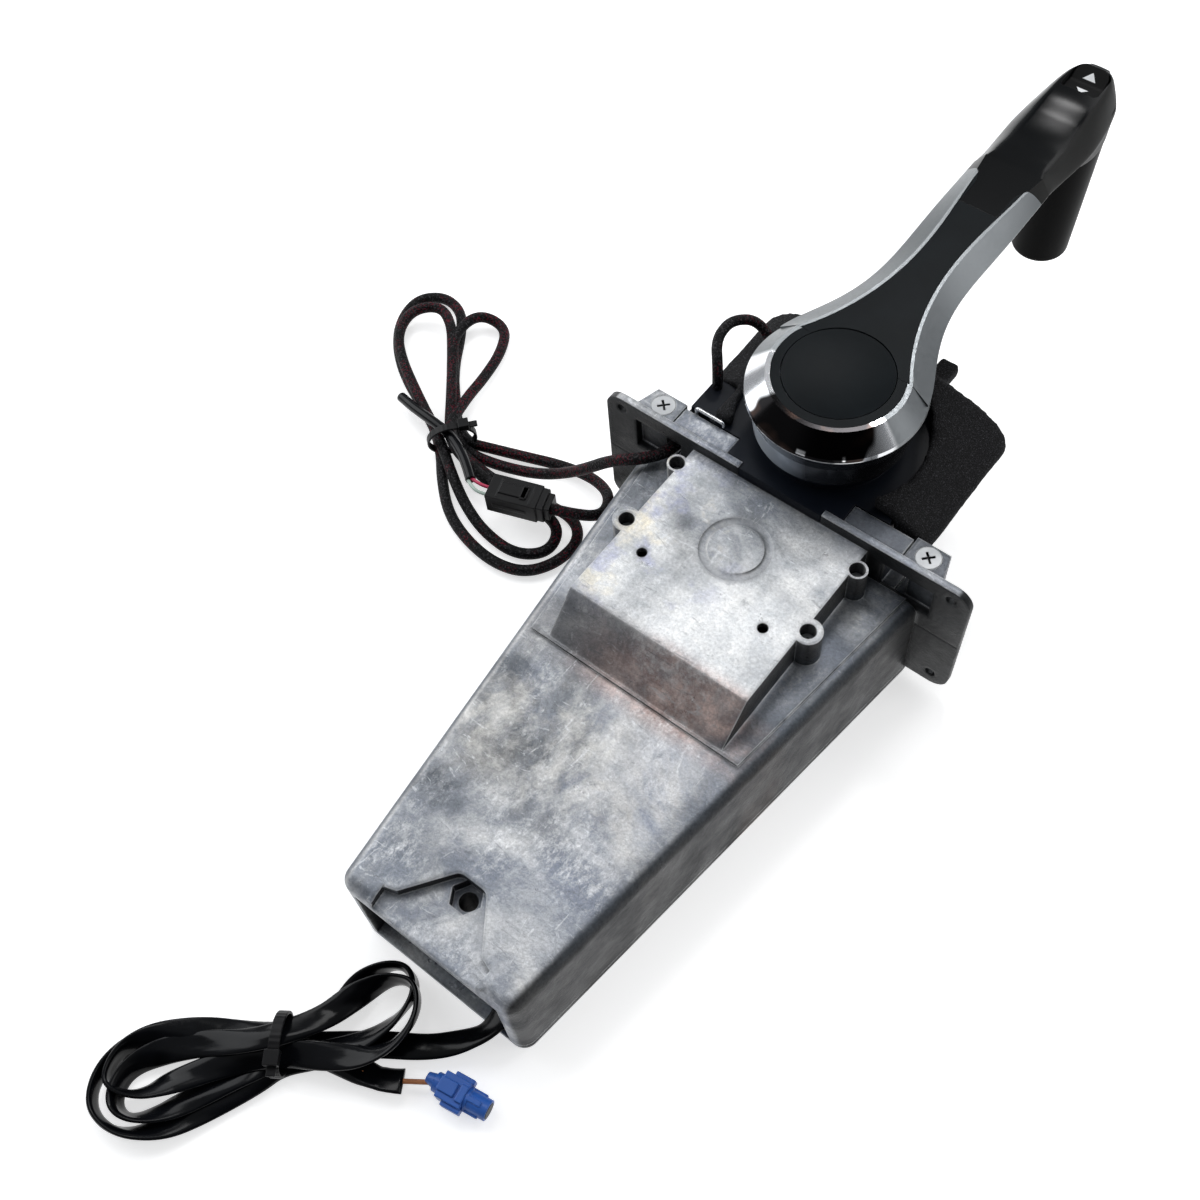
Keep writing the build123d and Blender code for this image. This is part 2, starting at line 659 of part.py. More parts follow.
def lever_pieces():
    shape = blade()
    well = rod(0, hub_y, blade_low - 10, hub_top + 10, inlay_r + 0.1)
    plan_of_handle = handle_plan()
    arm_blade = shape - well - plan_of_handle
    handle = shape & plan_of_handle
    inlay_disc = rod(0, hub_y, hub_top - inlay_thick, hub_top, inlay_r)
    band = inlay_band(137) - rod(0, hub_y, blade_low - 10, hub_top + 10, inlay_r - 6) - plan_of_handle
    inlay = inlay_disc + band - rod(0, hub_y, blade_low - 10, hub_top + 10, button_r + button_gap)
    return arm_blade, handle, inlay


def lever_set():
    arm_blade, handle, inlay = lever_pieces()
    lever_arm = hub() + arm_blade - inlay_band(137, 0.1, 2.0)
    pocket = rocker_plan(rocker_gap, rocker_floor - 6.0, rocker_top + 10)
    handle -= pocket
    handle -= rocker_pin()
    handle -= rod(0, grip_y, blade_low - 10, rocker_floor - 8.0, grip_core_r)
    return lever_arm, handle, inlay



def rocker_plan(grow, z0, z1):
    shape = block(-rocker_half_x - grow, rocker_half_x + grow, rocker_y - rocker_half_y - grow,
                  rocker_y + rocker_half_y + grow, z0, z1)
    far = [e for e in shape.edges().filter_by(Axis.Z) if e.center().Y > rocker_y]
    return fillet(far, rocker_corner + grow)


def rocker_pin():
    return Pos(0, rocker_y, rocker_axis_z) * (Rot(0, 90, 0) * Cylinder(1.0, 2 * rocker_half_x + 5))


def trim_rocker():
    top = rocker_top
    profile = [(-rocker_half_y, top - 3.2), (-0.8, top - 3.8), (0.8, top - 3.6), (rocker_half_y, top + 0.6),
               (rocker_half_y, rocker_floor + 3.0), (2.2, rocker_floor + 1.2), (-2.2, rocker_floor + 1.2),
               (-rocker_half_y, rocker_floor + 3.0)]
    body = side_prism([(rocker_y + y, z) for y, z in profile], rocker_half_x)
    body &= rocker_plan(0, rocker_floor - 1, rocker_top + 10)
    return body - Pos(0, rocker_y, rocker_axis_z) * (Rot(0, 90, 0) * Cylinder(1.0 + fit, 40))


def switch_body():
    return rocker_plan(-1, rocker_floor - 6.0, rocker_floor)


def grip_core():
    return rod(0, grip_y, grip_low + 6, rocker_floor - 8.0, grip_core_r)


def grip():
    body = Pos(0, grip_y, (grip_low + grip_high) / 2) * Cone(grip_r, grip_top_r, grip_high - grip_low)
    low_edge = body.edges().sort_by(Axis.Z)[0]
    body = fillet(low_edge, 3.0)
    body -= blade()
    body -= rod(0, grip_y, grip_low + 6, rocker_top, grip_core_r)
    body -= rod(0, grip_y, grip_low - 1, grip_low + 7, 3.2)
    return body.solids().sort_by(SortBy.VOLUME)[-1]


def grip_screw():
    return (rod(0, grip_y, grip_low + 1.0, grip_low + 6, 3.0))


def lever_bolt():
    bolt = rod(0, hub_y, web_low - 16, web_high + 1, bolt_r - 0.02)
    bolt += rod(0, hub_y, web_high, well_floor - 0.7, bolt_head_r)
    return bolt - Pos(0, hub_y, well_floor - 4) * extrude(RegularPolygon(3.0, 6, major_radius=False), 5)


def throttle_only_button():
    body = rod(0, hub_y, hub_top - button_thick, hub_top, button_r)
    dish = 150.0
    depth = 2.0
    return body - Pos(0, hub_y, hub_top - depth + dish) * Sphere(dish)


# ------------------------------------------------------------ harnesses
cord_r = 3.0
trim_r = 2.5
sleeve_r = 4.3
wire_r = 1.1
tunnel_x = -59.8            # the harness passes the lug and the window here
trim_route = [(-56.5, shelf_end - 4, pod_top), (-56.5, shelf_end - 4, pod_top + 13),
              (-65.0, shelf_end + 6.5, pod_top + 17.5), (-67.0, shelf_end + 21, pod_top + 15.5),
              (-60.0, shelf_end + 32, pod_top + 10.5), (-48.0, shelf_end + 30, pod_top + 1.5)]
braid_route = [(tunnel_x, shelf_start, 67.0), (tunnel_x, deck + 1, 67.0), (-68.5, deck - 11, 67.0),
               (-83.0, deck - 16.5, 60.5), (-98.0, deck - 17.5, 43.0), (-115.0, deck - 16, 23.0),
               (-133.0, deck - 17.5, 8.8), (-153.0, deck - 23, 3.6), (-176.0, deck - 28, 5.5)]
sleeve_route = [(23.0, low_end + 43, 15.0), (29.0, low_end + 20, 12.5), (31.0, low_end - 1.5, 9.2),
                (23.5, low_end - 13, 5.6), (12.5, low_end - 24, 4.7), (-3.0, low_end - 34, 5.0)]
wire_route = [(3.0, low_end - 46, 6.0), (12.0, low_end - 42, 5.0), (22.5, low_end - 34, 7.0)]
upper_hank = [(-176, deck - 24), (-186, deck - 15), (-196, deck + 14), (-209, deck + 38), (-226, deck + 50),
              (-250, deck + 52), (-267, deck + 46), (-272, deck + 32), (-264, deck + 8), (-256, deck - 10),
              (-236, deck - 19), (-210, deck - 20), (-192, deck - 26), (-190, deck - 37)]
lower_hank = [(-190, deck - 35), (-176, deck - 49), (-158, deck - 60), (-138, deck - 69), (-117, deck - 72),
              (-99, deck - 66), (-92, deck - 45), (-96, deck - 20), (-110, deck - 8), (-130, deck - 12),
              (-155, deck - 21), (-176, deck - 23)]
sleeve_hank_left = [(-28, low_end - 56), (-48, low_end - 66), (-74, low_end - 84), (-86, low_end - 108),
                    (-84, low_end - 130), (-70, low_end - 134), (-50, low_end - 116), (-30, low_end - 92),
                    (-18, low_end - 70)]
sleeve_hank_right = [(-34, low_end - 60), (-36, low_end - 36), (-27, low_end - 10), (-14, low_end - 2.5),
                     (0, low_end - 8), (9, low_end - 30), (3, low_end - 48), (-14, low_end - 68),
                     (-24, low_end - 72)]
braid_height, sleeve_height = 12.0, 12.0


def run_radii(points):
    corners = [Vector(*p) for p in points]
    radii = []
    for a, b, c in zip(corners, corners[1:], corners[2:]):
        turn = math.radians((b - a).get_angle(c - b))
        radii.append(0.45 * min((b - a).length, (c - b).length) / math.tan(turn / 2))
    return radii


def tube(name, points, r):
    """Straight runs joined by tangent arcs, as large as the runs allow."""
    radii = run_radii(points)
    path = FilletPolyline(*points, radius=radii)
    body = sweep(Plane(path @ 0, z_dir=path % 0) * Circle(r), path=path)
    print(name, "radii", [round(v, 1) for v in radii], "length", round(path.length, 1),
          "volume ratio", round(body.volume / (path.length * math.pi * r * r), 3))
    return body


def loop_solid(outline, height):
    return extrude(make_face(Spline(*outline, periodic=True)), height)


def strap(x, y, turn, length, width, height, inside):
    band = Pos(x, y, height / 2) * Rot(0, 0, turn) * Box(length, width, height)
    return (band - inside).solids().sort_by(SortBy.VOLUME)[-1]


def braid_connector():
    turn = 19.0
    body = Pos(-127.0, deck - 40.0, braid_height + 7.0) * Rot(0, 0, turn) * Box(30, 15, 14)
    body += Pos(-127.0, deck - 40.0, braid_height + 7.0) * Rot(0, 0, turn) * Pos(16.5, 0, 0) * Box(5, 11, 10)
    return body


def blue_connector():
    place = Pos(wire_route[-1][0] + 14.5, wire_route[-1][1] + 4.5, 7.0) * Rot(0, 0, 12)
    body = place * Box(22, 13, 12)
    body += place * Pos(-12.5, 0, 0) * Rot(0, 90, 0) * Cylinder(4.5, 4)
    body += place * Pos(14, 0, 0) * Box(6, 10, 9)
    return body


# ------------------------------------------------------------ all sub-parts
def main():
    lever_arm, handle, inlay = lever_set()
    braid_lead = tube("braid_lead", braid_route, cord_r)
    sleeve_lead = tube("sleeve_lead", sleeve_route, sleeve_r)
    trim_lead = tube("trim_lead", trim_route, trim_r)
    blue_wire = tube("blue_wire", wire_route, wire_r)
    braid_hank = (loop_solid(upper_hank, braid_height) + loop_solid(lower_hank, braid_height)) - braid_lead
    sleeve_hank = (loop_solid(sleeve_hank_left, sleeve_height)
                   + loop_solid(sleeve_hank_right, sleeve_height)) - sleeve_lead - blue_wire
    blue = blue_connector() - blue_wire
    parts = {
        "front_housing": front_housing(), "rear_housing": rear_housing(),
        "housing_screws": housing_screws(), "lug_screws": lug_screws(),
        "neck_frame": neck_frame(), "pod_base": pod_base(), "shaft_bushes": shaft_bushes(),
        "foam_wrap": foam_wrap() - trim_lead, "harness_clip": harness_clip(),
        "gear_pin": gear_pin(), "shift_pin": shift_pin(),
        "detent_sleeve": detent_sleeve(), "detent_plunger": detent_plunger(),
        "detent_spring": stack_spring(detent_x, hub_y, cheek_low, 19.0, 2.9, 1.7, 3),
        "neutral_switch": neutral_switch(), "cable_clamp": cable_clamp(),
        "cable_clamp_screw": cable_clamp_screw(), "trim_lead": trim_lead,
        "lever_arm": lever_arm, "lever_inlay": inlay, "handle_shell": handle,
        "grip": grip(), "grip_core": grip_core(), "grip_screw": grip_screw(),
        "main_shaft": main_shaft(), "drive_gear": drive_gear(), "lever_bolt": lever_bolt(),
        "shaft_clip": shaft_clip(), "rocker_switch": switch_body(), "rocker_pin": rocker_pin(),
        "button_spring": stack_spring(0, hub_y, well_floor, hub_top - button_thick, 20.0, 17.5, 2),
        "throttle_only_button": throttle_only_button(), "trim_rocker": trim_rocker(),
        "throttle_gear": throttle_gear(), "shift_link": shift_link(), "shift_arm": shift_arm(),
        "braid_lead": braid_lead, "braid_hank": braid_hank,
        "braid_tie": strap(-184.0, deck - 28.5, 30, 27, 5, braid_height + 2, braid_hank),
        "braid_connector": braid_connector(),
        "sleeve_lead": sleeve_lead, "sleeve_hank": sleeve_hank,
        "sleeve_tie": strap(-28.0, low_end - 66.0, -30, 25, 5, sleeve_height + 2, sleeve_hank),
        "blue_wire": blue_wire, "blue_connector": blue,
    }
    for name, shape in parts.items():
        box = shape.bounding_box()
        print(f"{name:22s} solids {len(shape.solids())} volume {shape.volume:10.0f}  "
              f"x {box.min.X:7.1f} {box.max.X:7.1f}  y {box.min.Y:7.1f} {box.max.Y:7.1f}  "
              f"z {box.min.Z:6.1f} {box.max.Z:6.1f}")
        export_step(shape, f"parts/{name}.step")


main()
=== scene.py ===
"""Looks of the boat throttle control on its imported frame: finishes, head, foam, harnesses and light.

Finishes are in metres and shapes in millimetres, both in the frame's own axes.
"""

import math

import bmesh
import bpy
from mathutils import Matrix, Vector, noise


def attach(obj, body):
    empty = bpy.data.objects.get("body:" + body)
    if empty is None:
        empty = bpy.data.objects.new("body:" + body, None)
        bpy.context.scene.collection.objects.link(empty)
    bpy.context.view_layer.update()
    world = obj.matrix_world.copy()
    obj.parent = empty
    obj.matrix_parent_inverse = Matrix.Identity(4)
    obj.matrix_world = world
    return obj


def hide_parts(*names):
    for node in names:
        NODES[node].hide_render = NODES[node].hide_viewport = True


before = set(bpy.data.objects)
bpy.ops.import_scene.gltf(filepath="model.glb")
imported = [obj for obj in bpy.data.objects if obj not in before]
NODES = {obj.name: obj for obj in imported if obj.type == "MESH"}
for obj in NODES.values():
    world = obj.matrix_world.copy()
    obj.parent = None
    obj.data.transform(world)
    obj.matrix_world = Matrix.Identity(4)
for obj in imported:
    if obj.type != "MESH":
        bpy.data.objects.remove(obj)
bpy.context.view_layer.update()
HUB_Y = 30.0  # the lever's axis

# ------------------------------------------------------------ camera
CAMERA_AT = (0.185014, -0.322531, 0.608807)
CAMERA_AZIMUTH, CAMERA_ELEVATION, CAMERA_ROLL = -44.112663, 59.484308, -6.854988
SENSOR = 36.0
FOCAL_LENGTH = 42.896


def make_camera():
    azimuth, elevation, roll = (math.radians(v) for v in (CAMERA_AZIMUTH, CAMERA_ELEVATION, CAMERA_ROLL))
    ahead = Vector((math.sin(azimuth) * math.cos(elevation), math.cos(azimuth) * math.cos(elevation),
                    -math.sin(elevation)))
    level = Vector((math.cos(azimuth), -math.sin(azimuth), 0))
    upright = level.cross(ahead)
    right = math.cos(roll) * level + math.sin(roll) * upright
    up = -math.sin(roll) * level + math.cos(roll) * upright
    data = bpy.data.cameras.new("camera")
    data.sensor_width, data.lens = SENSOR, FOCAL_LENGTH
    data.clip_start, data.clip_end = 0.01, 50
    camera = bpy.data.objects.new("camera", data)
    bpy.context.collection.objects.link(camera)
    turned = Matrix((right, up, -ahead)).transposed().to_4x4()
    camera.matrix_world = Matrix.Translation(CAMERA_AT) @ turned
    bpy.context.scene.camera = camera


# ------------------------------------------------------------ shader helpers
def add_node(tree, kind, **settings):
    node = tree.nodes.new(kind)
    for key, value in settings.items():
        setattr(node, key, value)
    return node


def link_all(tree, *pairs):
    for output, socket in pairs:
        tree.links.new(output, socket)


def shade(value):
    """A colour as it is, or the grey of one number."""
    return (value,) * 3 if isinstance(value, float) else value


class Finish:
    """One procedural material on the Principled shader. A mask is a value from 0 to 1."""

    def __init__(self, name, colour, roughness, metallic=0.0, specular=0.5):
        self.material = bpy.data.materials.new(name)
        self.material.use_nodes = True
        self.tree = self.material.node_tree
        self.shader = self.tree.nodes["Principled BSDF"]
        self.inputs = self.shader.inputs
        self.colour(colour)
        self.gloss(roughness)
        self.put(self.inputs["Metallic"], metallic)
        self.put(self.inputs["Specular IOR Level"], specular)
        self.place = self.add("ShaderNodeTexCoord").outputs["Object"]

    def add(self, kind, **settings):
        return add_node(self.tree, kind, **settings)

    def put(self, socket, value):
        """Link a node's output to the socket, or set a plain value there."""
        if isinstance(value, bpy.types.NodeSocket):
            self.tree.links.new(value, socket)
        else:
            socket.default_value = (*value, 1) if isinstance(value, tuple) else value

    def colour(self, value):
        self.base = value
        self.put(self.inputs["Base Color"], value)

    def layer(self, mask, colour, blend="MIX"):
        """Lay this colour over the colour so far."""
        self.colour(self.mix(mask, self.base, colour, blend))

    def gloss(self, value):
        self.put(self.inputs["Roughness"], value)

    def bump(self, value, distance, strength, edge=0.0):
        """Relief of this height over edges rounded by the radius edge. Gives the material."""
        node = self.add("ShaderNodeBump")
        self.put(node.inputs["Strength"], strength)
        self.put(node.inputs["Distance"], distance)
        self.put(node.inputs["Height"], value)
        if edge:
            self.put(node.inputs["Normal"], self.rounded(edge))
        self.put(self.inputs["Normal"], node.outputs["Normal"])
        return self.material

    # patterns and places
    def noise(self, scale, detail, roughness=0.55, stretch=(1, 1, 1), distortion=0.0):
        mapping = self.add("ShaderNodeMapping")
        mapping.inputs["Scale"].default_value = stretch
        self.put(mapping.inputs["Vector"], self.place)
        node = self.add("ShaderNodeTexNoise")
        for key, value in (("Scale", scale), ("Detail", detail), ("Roughness", roughness),
                           ("Distortion", distortion), ("Vector", mapping.outputs["Vector"])):
            self.put(node.inputs[key], value)
        return node.outputs["Fac"]

    def cells(self, scale):
        node = self.add("ShaderNodeTexVoronoi")
        self.put(node.inputs["Scale"], scale)
        self.put(node.inputs["Vector"], self.place)
        return node.outputs["Distance"]

    def part(self, vector, index):
        node = self.add("ShaderNodeSeparateXYZ")
        self.put(node.inputs[0], vector)
        return node.outputs[index]

    def axis(self, index):
        """The place along x, y or z in metres."""
        return self.part(self.place, index)

    def normal(self):
        return self.add("ShaderNodeNewGeometry").outputs["Normal"]

    def facing(self, index):
        """How far the surface faces along x, y or z, -1 to 1."""
        return self.part(self.normal(), index)

    def rounded(self, radius):
        """The normal over edges rounded by this radius."""
        node = self.add("ShaderNodeBevel", samples=4)
        self.put(node.inputs["Radius"], radius)
        return node.outputs["Normal"]

    def edge_wear_and_light(self, radius, amount):
        """This amount along the outer and inner arrises."""
        node = self.add("ShaderNodeVectorMath", operation="DOT_PRODUCT")
        self.put(node.inputs[0], self.rounded(radius))
        self.put(node.inputs[1], self.normal())
        return self.product(self.step(self.rest(node.outputs["Value"]), 0.02, 0.2), amount)

    # arithmetic
    def math(self, operation, *values):
        node = self.add("ShaderNodeMath", operation=operation)
        for socket, value in zip(node.inputs, values):
            self.put(socket, value)
        return node.outputs[0]

    def product(self, value, *others):
        for other in others:
            value = self.math("MULTIPLY", value, other)
        return value

    def rest(self, value):
        """What is left of 1."""
        return self.math("SUBTRACT", 1.0, value)

    def away(self, x, y, middle=(0.0, 0.0)):
        """Distance in plan from this place."""
        squares = []
        for value, centre in zip((x, y), middle):
            offset = self.math("SUBTRACT", value, centre)
            squares.append(self.product(offset, offset))
        return self.math("SQRT", self.math("ADD", *squares))

    def step(self, value, start, end):
        """0 before start, 1 past end, smooth between."""
        node = self.add("ShaderNodeMapRange", interpolation_type="SMOOTHSTEP")
        for key, what in (("Value", value), ("From Min", start), ("From Max", end)):
            self.put(node.inputs[key], what)
        return node.outputs["Result"]

    def between(self, value, low, high, soft):
        return self.product(self.step(value, low - soft, low + soft),
                            self.rest(self.step(value, high - soft, high + soft)))

    def ramp(self, value, *stops):
        node = self.add("ShaderNodeValToRGB")
        elements = node.color_ramp.elements
        while len(elements) < len(stops):
            elements.new(0.5)
        for element, (at, colour) in zip(elements, stops):
            element.position = at
            element.color = (*shade(colour), 1)
        self.put(node.inputs["Fac"], value)
        return node.outputs["Color"]

    def mix(self, mask, a, b, blend="MIX"):
        node = self.add("ShaderNodeMix", data_type="RGBA", blend_type=blend)
        factor, first, second = (node.inputs[i] for i in (0, 6, 7))
        self.put(factor, mask)
        self.put(first, shade(a))
        self.put(second, shade(b))
        return node.outputs[2]


# ------------------------------------------------------------ cast aluminium
# Places on the casting. A pair is where a soft step starts and ends, or both ends of a band.
CABLE_END_Y = (-0.18, -0.225)
FRONT_WALL_Y = (-0.262, -0.2)
WARM_Y, WARM_Z = (-0.185, -0.128), (0.055, 0.062)
SLOPE_Y, ROSY_X = (-0.125, -0.1), (-0.045, 0.01)
PLATFORM_Y, PLATFORM_Z = (-0.102, -0.016), (0.074, 0.079)
STAIN_X = (0.016, -0.012)
BOSS_AT, BOSS_RADIUS = (0.0, -0.0436), 0.0145
TROUGH_X, TROUGH_Z = (0.044, 0.05), (0.058, 0.066)
LOWER_EDGE_Z = (0.074, 0.07)
FLANGE_Y, FLANGE_TOP_Z = (-0.0112, -0.0073), (0.0852, 0.0858)
BEHIND_FLANGE_Y, BEHIND_FLANGE_X = (-0.0076, -0.0073), (0.01, 0.03)


def lay_skin(m, y, z):
    """Clouded skin, cooler toward the cable end, with a pale warm band of painted light at the foot of the
    slope.
    """
    m.colour(m.ramp(m.noise(12, 10, 0.66, distortion=0.6),
                    (0.36, (0.09, 0.1, 0.115)), (0.46, (0.25, 0.265, 0.29)),
                    (0.56, (0.53, 0.535, 0.54)), (0.65, (0.9, 0.89, 0.86))))
    m.layer(m.ramp(m.noise(29, 9, 0.66, distortion=0.5), (0.5, 0.0), (0.6, 0.6)), (0.17, 0.19, 0.235))
    m.layer(m.ramp(m.noise(9, 4, 0.5), (0.46, 0.0), (0.62, 0.55)), (0.28, 0.315, 0.4))
    m.layer(m.product(m.step(y, *CABLE_END_Y), m.ramp(m.noise(18, 7, 0.6), (0.4, 0.15), (0.6, 0.6))),
            (0.17, 0.195, 0.24))
    # painted light: a pale, warm, mottled band at the foot of the slope
    painted_warm_light = m.product(m.between(y, *WARM_Y, 0.016), m.step(z, *WARM_Z),
                     m.ramp(m.noise(24, 9, 0.7, distortion=0.5), (0.42, 0.0), (0.58, 0.8)))
    m.layer(painted_warm_light, m.ramp(m.noise(80, 8, 0.72), (0.38, (0.4, 0.385, 0.36)), (0.6, (0.86, 0.84, 0.79))))


def lay_platform(m, x, platform_top):
    """Pale patches of painted light on the platform top, with yellow and violet stains on the left."""
    # painted light: the platform top made pale and mottled
    painted_platform_light = m.product(platform_top, m.ramp(m.noise(16, 9, 0.66), (0.36, 0.15), (0.56, 0.92)))
    m.layer(painted_platform_light, m.ramp(m.noise(60, 8, 0.7), (0.36, (0.6, 0.62, 0.64)), (0.62, (0.95, 0.95, 0.94))))
    stain = m.product(platform_top, m.step(x, *STAIN_X))
    yellow = m.ramp(m.noise(30, 7, 0.6), (0.54, 0.0), (0.64, 0.5))
    m.layer(m.product(stain, yellow), (0.8, 0.7, 0.48))
    violet = m.ramp(m.noise(36, 7, 0.6, (1, 1.3, 1)), (0.54, 0.0), (0.62, 0.6))
    m.layer(m.product(stain, violet), (0.33, 0.35, 0.52))


def lay_slope(m, x, y):
    """Painted shade on the slope, with a painted rosy highlight on its right."""
    slope = m.between(y, *SLOPE_Y, 0.006)
    # painted shade: the slope darkened
    m.layer(m.product(slope, 0.45), (0.17, 0.165, 0.17))
    # painted highlight: a rosy reflection on the right of the slope
    rosy_reflection = m.product(slope, m.step(x, *ROSY_X),
                     m.ramp(m.noise(26, 8, 0.65), (0.38, 0.15), (0.54, 0.95)))
    m.layer(rosy_reflection, m.ramp(m.noise(70, 8, 0.7), (0.4, (0.42, 0.3, 0.275)), (0.6, (0.92, 0.7, 0.63))))


def lay_marks(m):
    """Bright glints, then pale scratches, pale curls and dark scuffs."""
    glint = m.product(m.ramp(m.noise(19, 8, 0.7, distortion=0.4), (0.48, 0.0), (0.62, 1.0)),
                      m.ramp(m.noise(330, 8, 0.8, (1, 0.6, 1)), (0.46, 0.0), (0.62, 0.6)))
    m.layer(glint, (0.93, 0.935, 0.94))
    for pattern, stops, colour in (
            ((190, 6, 0.7, (1, 0.22, 1), 1.6), ((0.63, 0.0), (0.68, 0.4)), (0.86, 0.87, 0.88)),
            ((120, 7, 0.7, (0.35, 1, 1), 3.0), ((0.6, 0.0), (0.66, 0.45)), (0.8, 0.82, 0.84)),
            ((150, 7, 0.75, (0.3, 1, 1), 2.0), ((0.58, 0.0), (0.66, 0.5)), (0.14, 0.15, 0.17))):
        m.layer(m.ramp(m.noise(*pattern), *stops), colour)


def lay_sides(m, x, y, z):
    """Painted light and shade by the way that a wall faces, and painted shade in the hollows on the right."""
    rightward = m.facing(0)
    leftward, forward = m.math("SUBTRACT", 0.0, rightward), m.math("SUBTRACT", 0.0, m.facing(1))
    # painted shade on walls that face right; their specular is lowered too
    right = m.product(m.step(rightward, 0.15, 0.6), 0.93)
    m.layer(right, (0.03, 0.0295, 0.029))
    m.put(m.inputs["Specular IOR Level"], m.math("SUBTRACT", 0.5, m.product(right, 0.5)))
    # painted shade on walls that face the cable end
    m.layer(m.product(m.step(forward, 0.6, 0.95), m.step(y, *FRONT_WALL_Y), 0.8), (0.05, 0.05, 0.052))
    # painted shade in the trough on the right
    painted_trough_shade = m.product(m.step(x, *TROUGH_X), m.between(z, *TROUGH_Z, 0.002),
                       m.ramp(m.noise(30, 6, 0.6), (0.35, 0.85), (0.65, 0.35)))
    m.layer(painted_trough_shade, (0.1, 0.115, 0.135))
    # painted shade behind the flange
    painted_shade_behind_flange = m.product(m.step(y, *BEHIND_FLANGE_Y), m.step(x, *BEHIND_FLANGE_X), 0.75)
    m.layer(painted_shade_behind_flange, (0.07, 0.078, 0.09))
    # painted light: walls that face left made paler, in mottled patches
    m.layer(m.product(m.step(leftward, 0.15, 0.5), 0.5),
            m.ramp(m.noise(45, 8, 0.7), (0.38, (0.3, 0.29, 0.28)), (0.6, (0.85, 0.83, 0.8))))
    # painted shade: a dark bluish line on the lower left edge
    m.layer(m.product(m.step(leftward, 0.3, 0.75), m.step(z, *LOWER_EDGE_Z), 0.88), (0.075, 0.09, 0.115))


def cast_aluminium():
    m = Finish("cast_aluminium", (0.4, 0.41, 0.42), 0.45, 0.5)
    x, y, z = (m.axis(i) for i in range(3))
    # the platform top, which carries painted light, stains and a painted ring of shade
    platform_top = m.product(m.between(y, *PLATFORM_Y, 0.01), m.step(z, *PLATFORM_Z))
    lay_skin(m, y, z)
    lay_platform(m, x, platform_top)
    lay_slope(m, x, y)
    lay_marks(m)
    lay_sides(m, x, y, z)
    # painted shade: a soft dark ring round the raised disc on the platform
    painted_ring_shade = m.between(m.away(x, y, BOSS_AT), BOSS_RADIUS - 0.0012, BOSS_RADIUS + 0.0028, 0.0017)
    m.layer(m.product(painted_ring_shade, platform_top, 0.6), (0.3, 0.31, 0.33))
    m.layer(1.0, m.ramp(m.noise(700, 5, 0.75), (0.32, 0.75), (0.68, 1.2)), "MULTIPLY")
    # pale edges: part wear, part painted highlight
    worn_and_lit_edges = m.product(m.edge_wear_and_light(0.0014, 0.9), m.ramp(m.noise(90, 5, 0.6), (0.38, 0.2), (0.58, 1.0)))
    m.layer(worn_and_lit_edges, (0.9, 0.91, 0.92))
    flange = m.product(m.between(y, *FLANGE_Y, 0.0002), m.rest(m.step(z, *FLANGE_TOP_Z)), 0.93)
    m.layer(flange, (0.02, 0.021, 0.022))
    m.gloss(m.ramp(m.noise(50, 7, 0.65), (0.32, 0.26), (0.68, 0.55)))
    relief = m.math("ADD", m.noise(500, 6, 0.75), m.product(m.noise(40, 5, 0.6), 2.5))
    return m.bump(relief, 0.0005, 0.6, edge=0.003)


# ------------------------------------------------------------ other finishes
def bright_steel():
    m = Finish("bright_steel", (0.75, 0.76, 0.77), 0.22, 1.0)
    m.gloss(m.ramp(m.noise(200, 3), (0.3, 0.16), (0.7, 0.32)))
    return m.bump(m.noise(800, 2), 0.00005, 0.3, edge=0.0003)


RECESSES_Z = ((0.0825, 0.0846), (0.0695, 0.0716))  # drive recesses of the lug and housing screws


def screw_steel():
    """Plated screw: bright head, painted shade in the drive recess."""
    m = Finish("screw_steel", (0.4, 0.41, 0.42), 0.45, 0.7)
    z = m.axis(2)
    recess = m.math("MAXIMUM", *(m.between(z, low, high, 0.0001) for low, high in RECESSES_Z))
    m.colour(m.ramp(m.noise(90, 4), (0.35, (0.33, 0.34, 0.35)), (0.65, (0.46, 0.47, 0.48))))
    # painted shade in the drive recess
    m.layer(recess, (0.03, 0.03, 0.032))
    return m.bump(m.noise(600, 2), 0.00002, 0.2, edge=0.0004)


def machined_steel():
    m = Finish("machined_steel", (0.45, 0.46, 0.48), 0.35, 1.0)
    m.gloss(m.ramp(m.noise(150, 3, stretch=(1, 1, 12)), (0.3, 0.28), (0.7, 0.45)))
    return m.bump(m.noise(600, 3, stretch=(1, 1, 8)), 0.00005, 0.4, edge=0.0004)


def bronze():
    m = Finish("bronze", (0.5, 0.33, 0.14), 0.35, 1.0)
    return m.bump(m.noise(500, 3), 0.00006, 0.4, edge=0.0004)


def plastic(name, dark, light, roughness, grain=900, depth=0.00005, edge=0.0006, specular=0.5):
    m = Finish(name, light, roughness, specular=specular)
    m.colour(m.ramp(m.noise(40, 3), (0.3, dark), (0.7, light)))
    return m.bump(m.noise(grain, 3), depth, 0.5, edge=edge)


# each triangle's band along y, its tip's y and the way that it points
ROCKER_MARKS = ((0.2447, 0.2482, 0.2484, 1), (0.2356, 0.2388, 0.2354, -1))


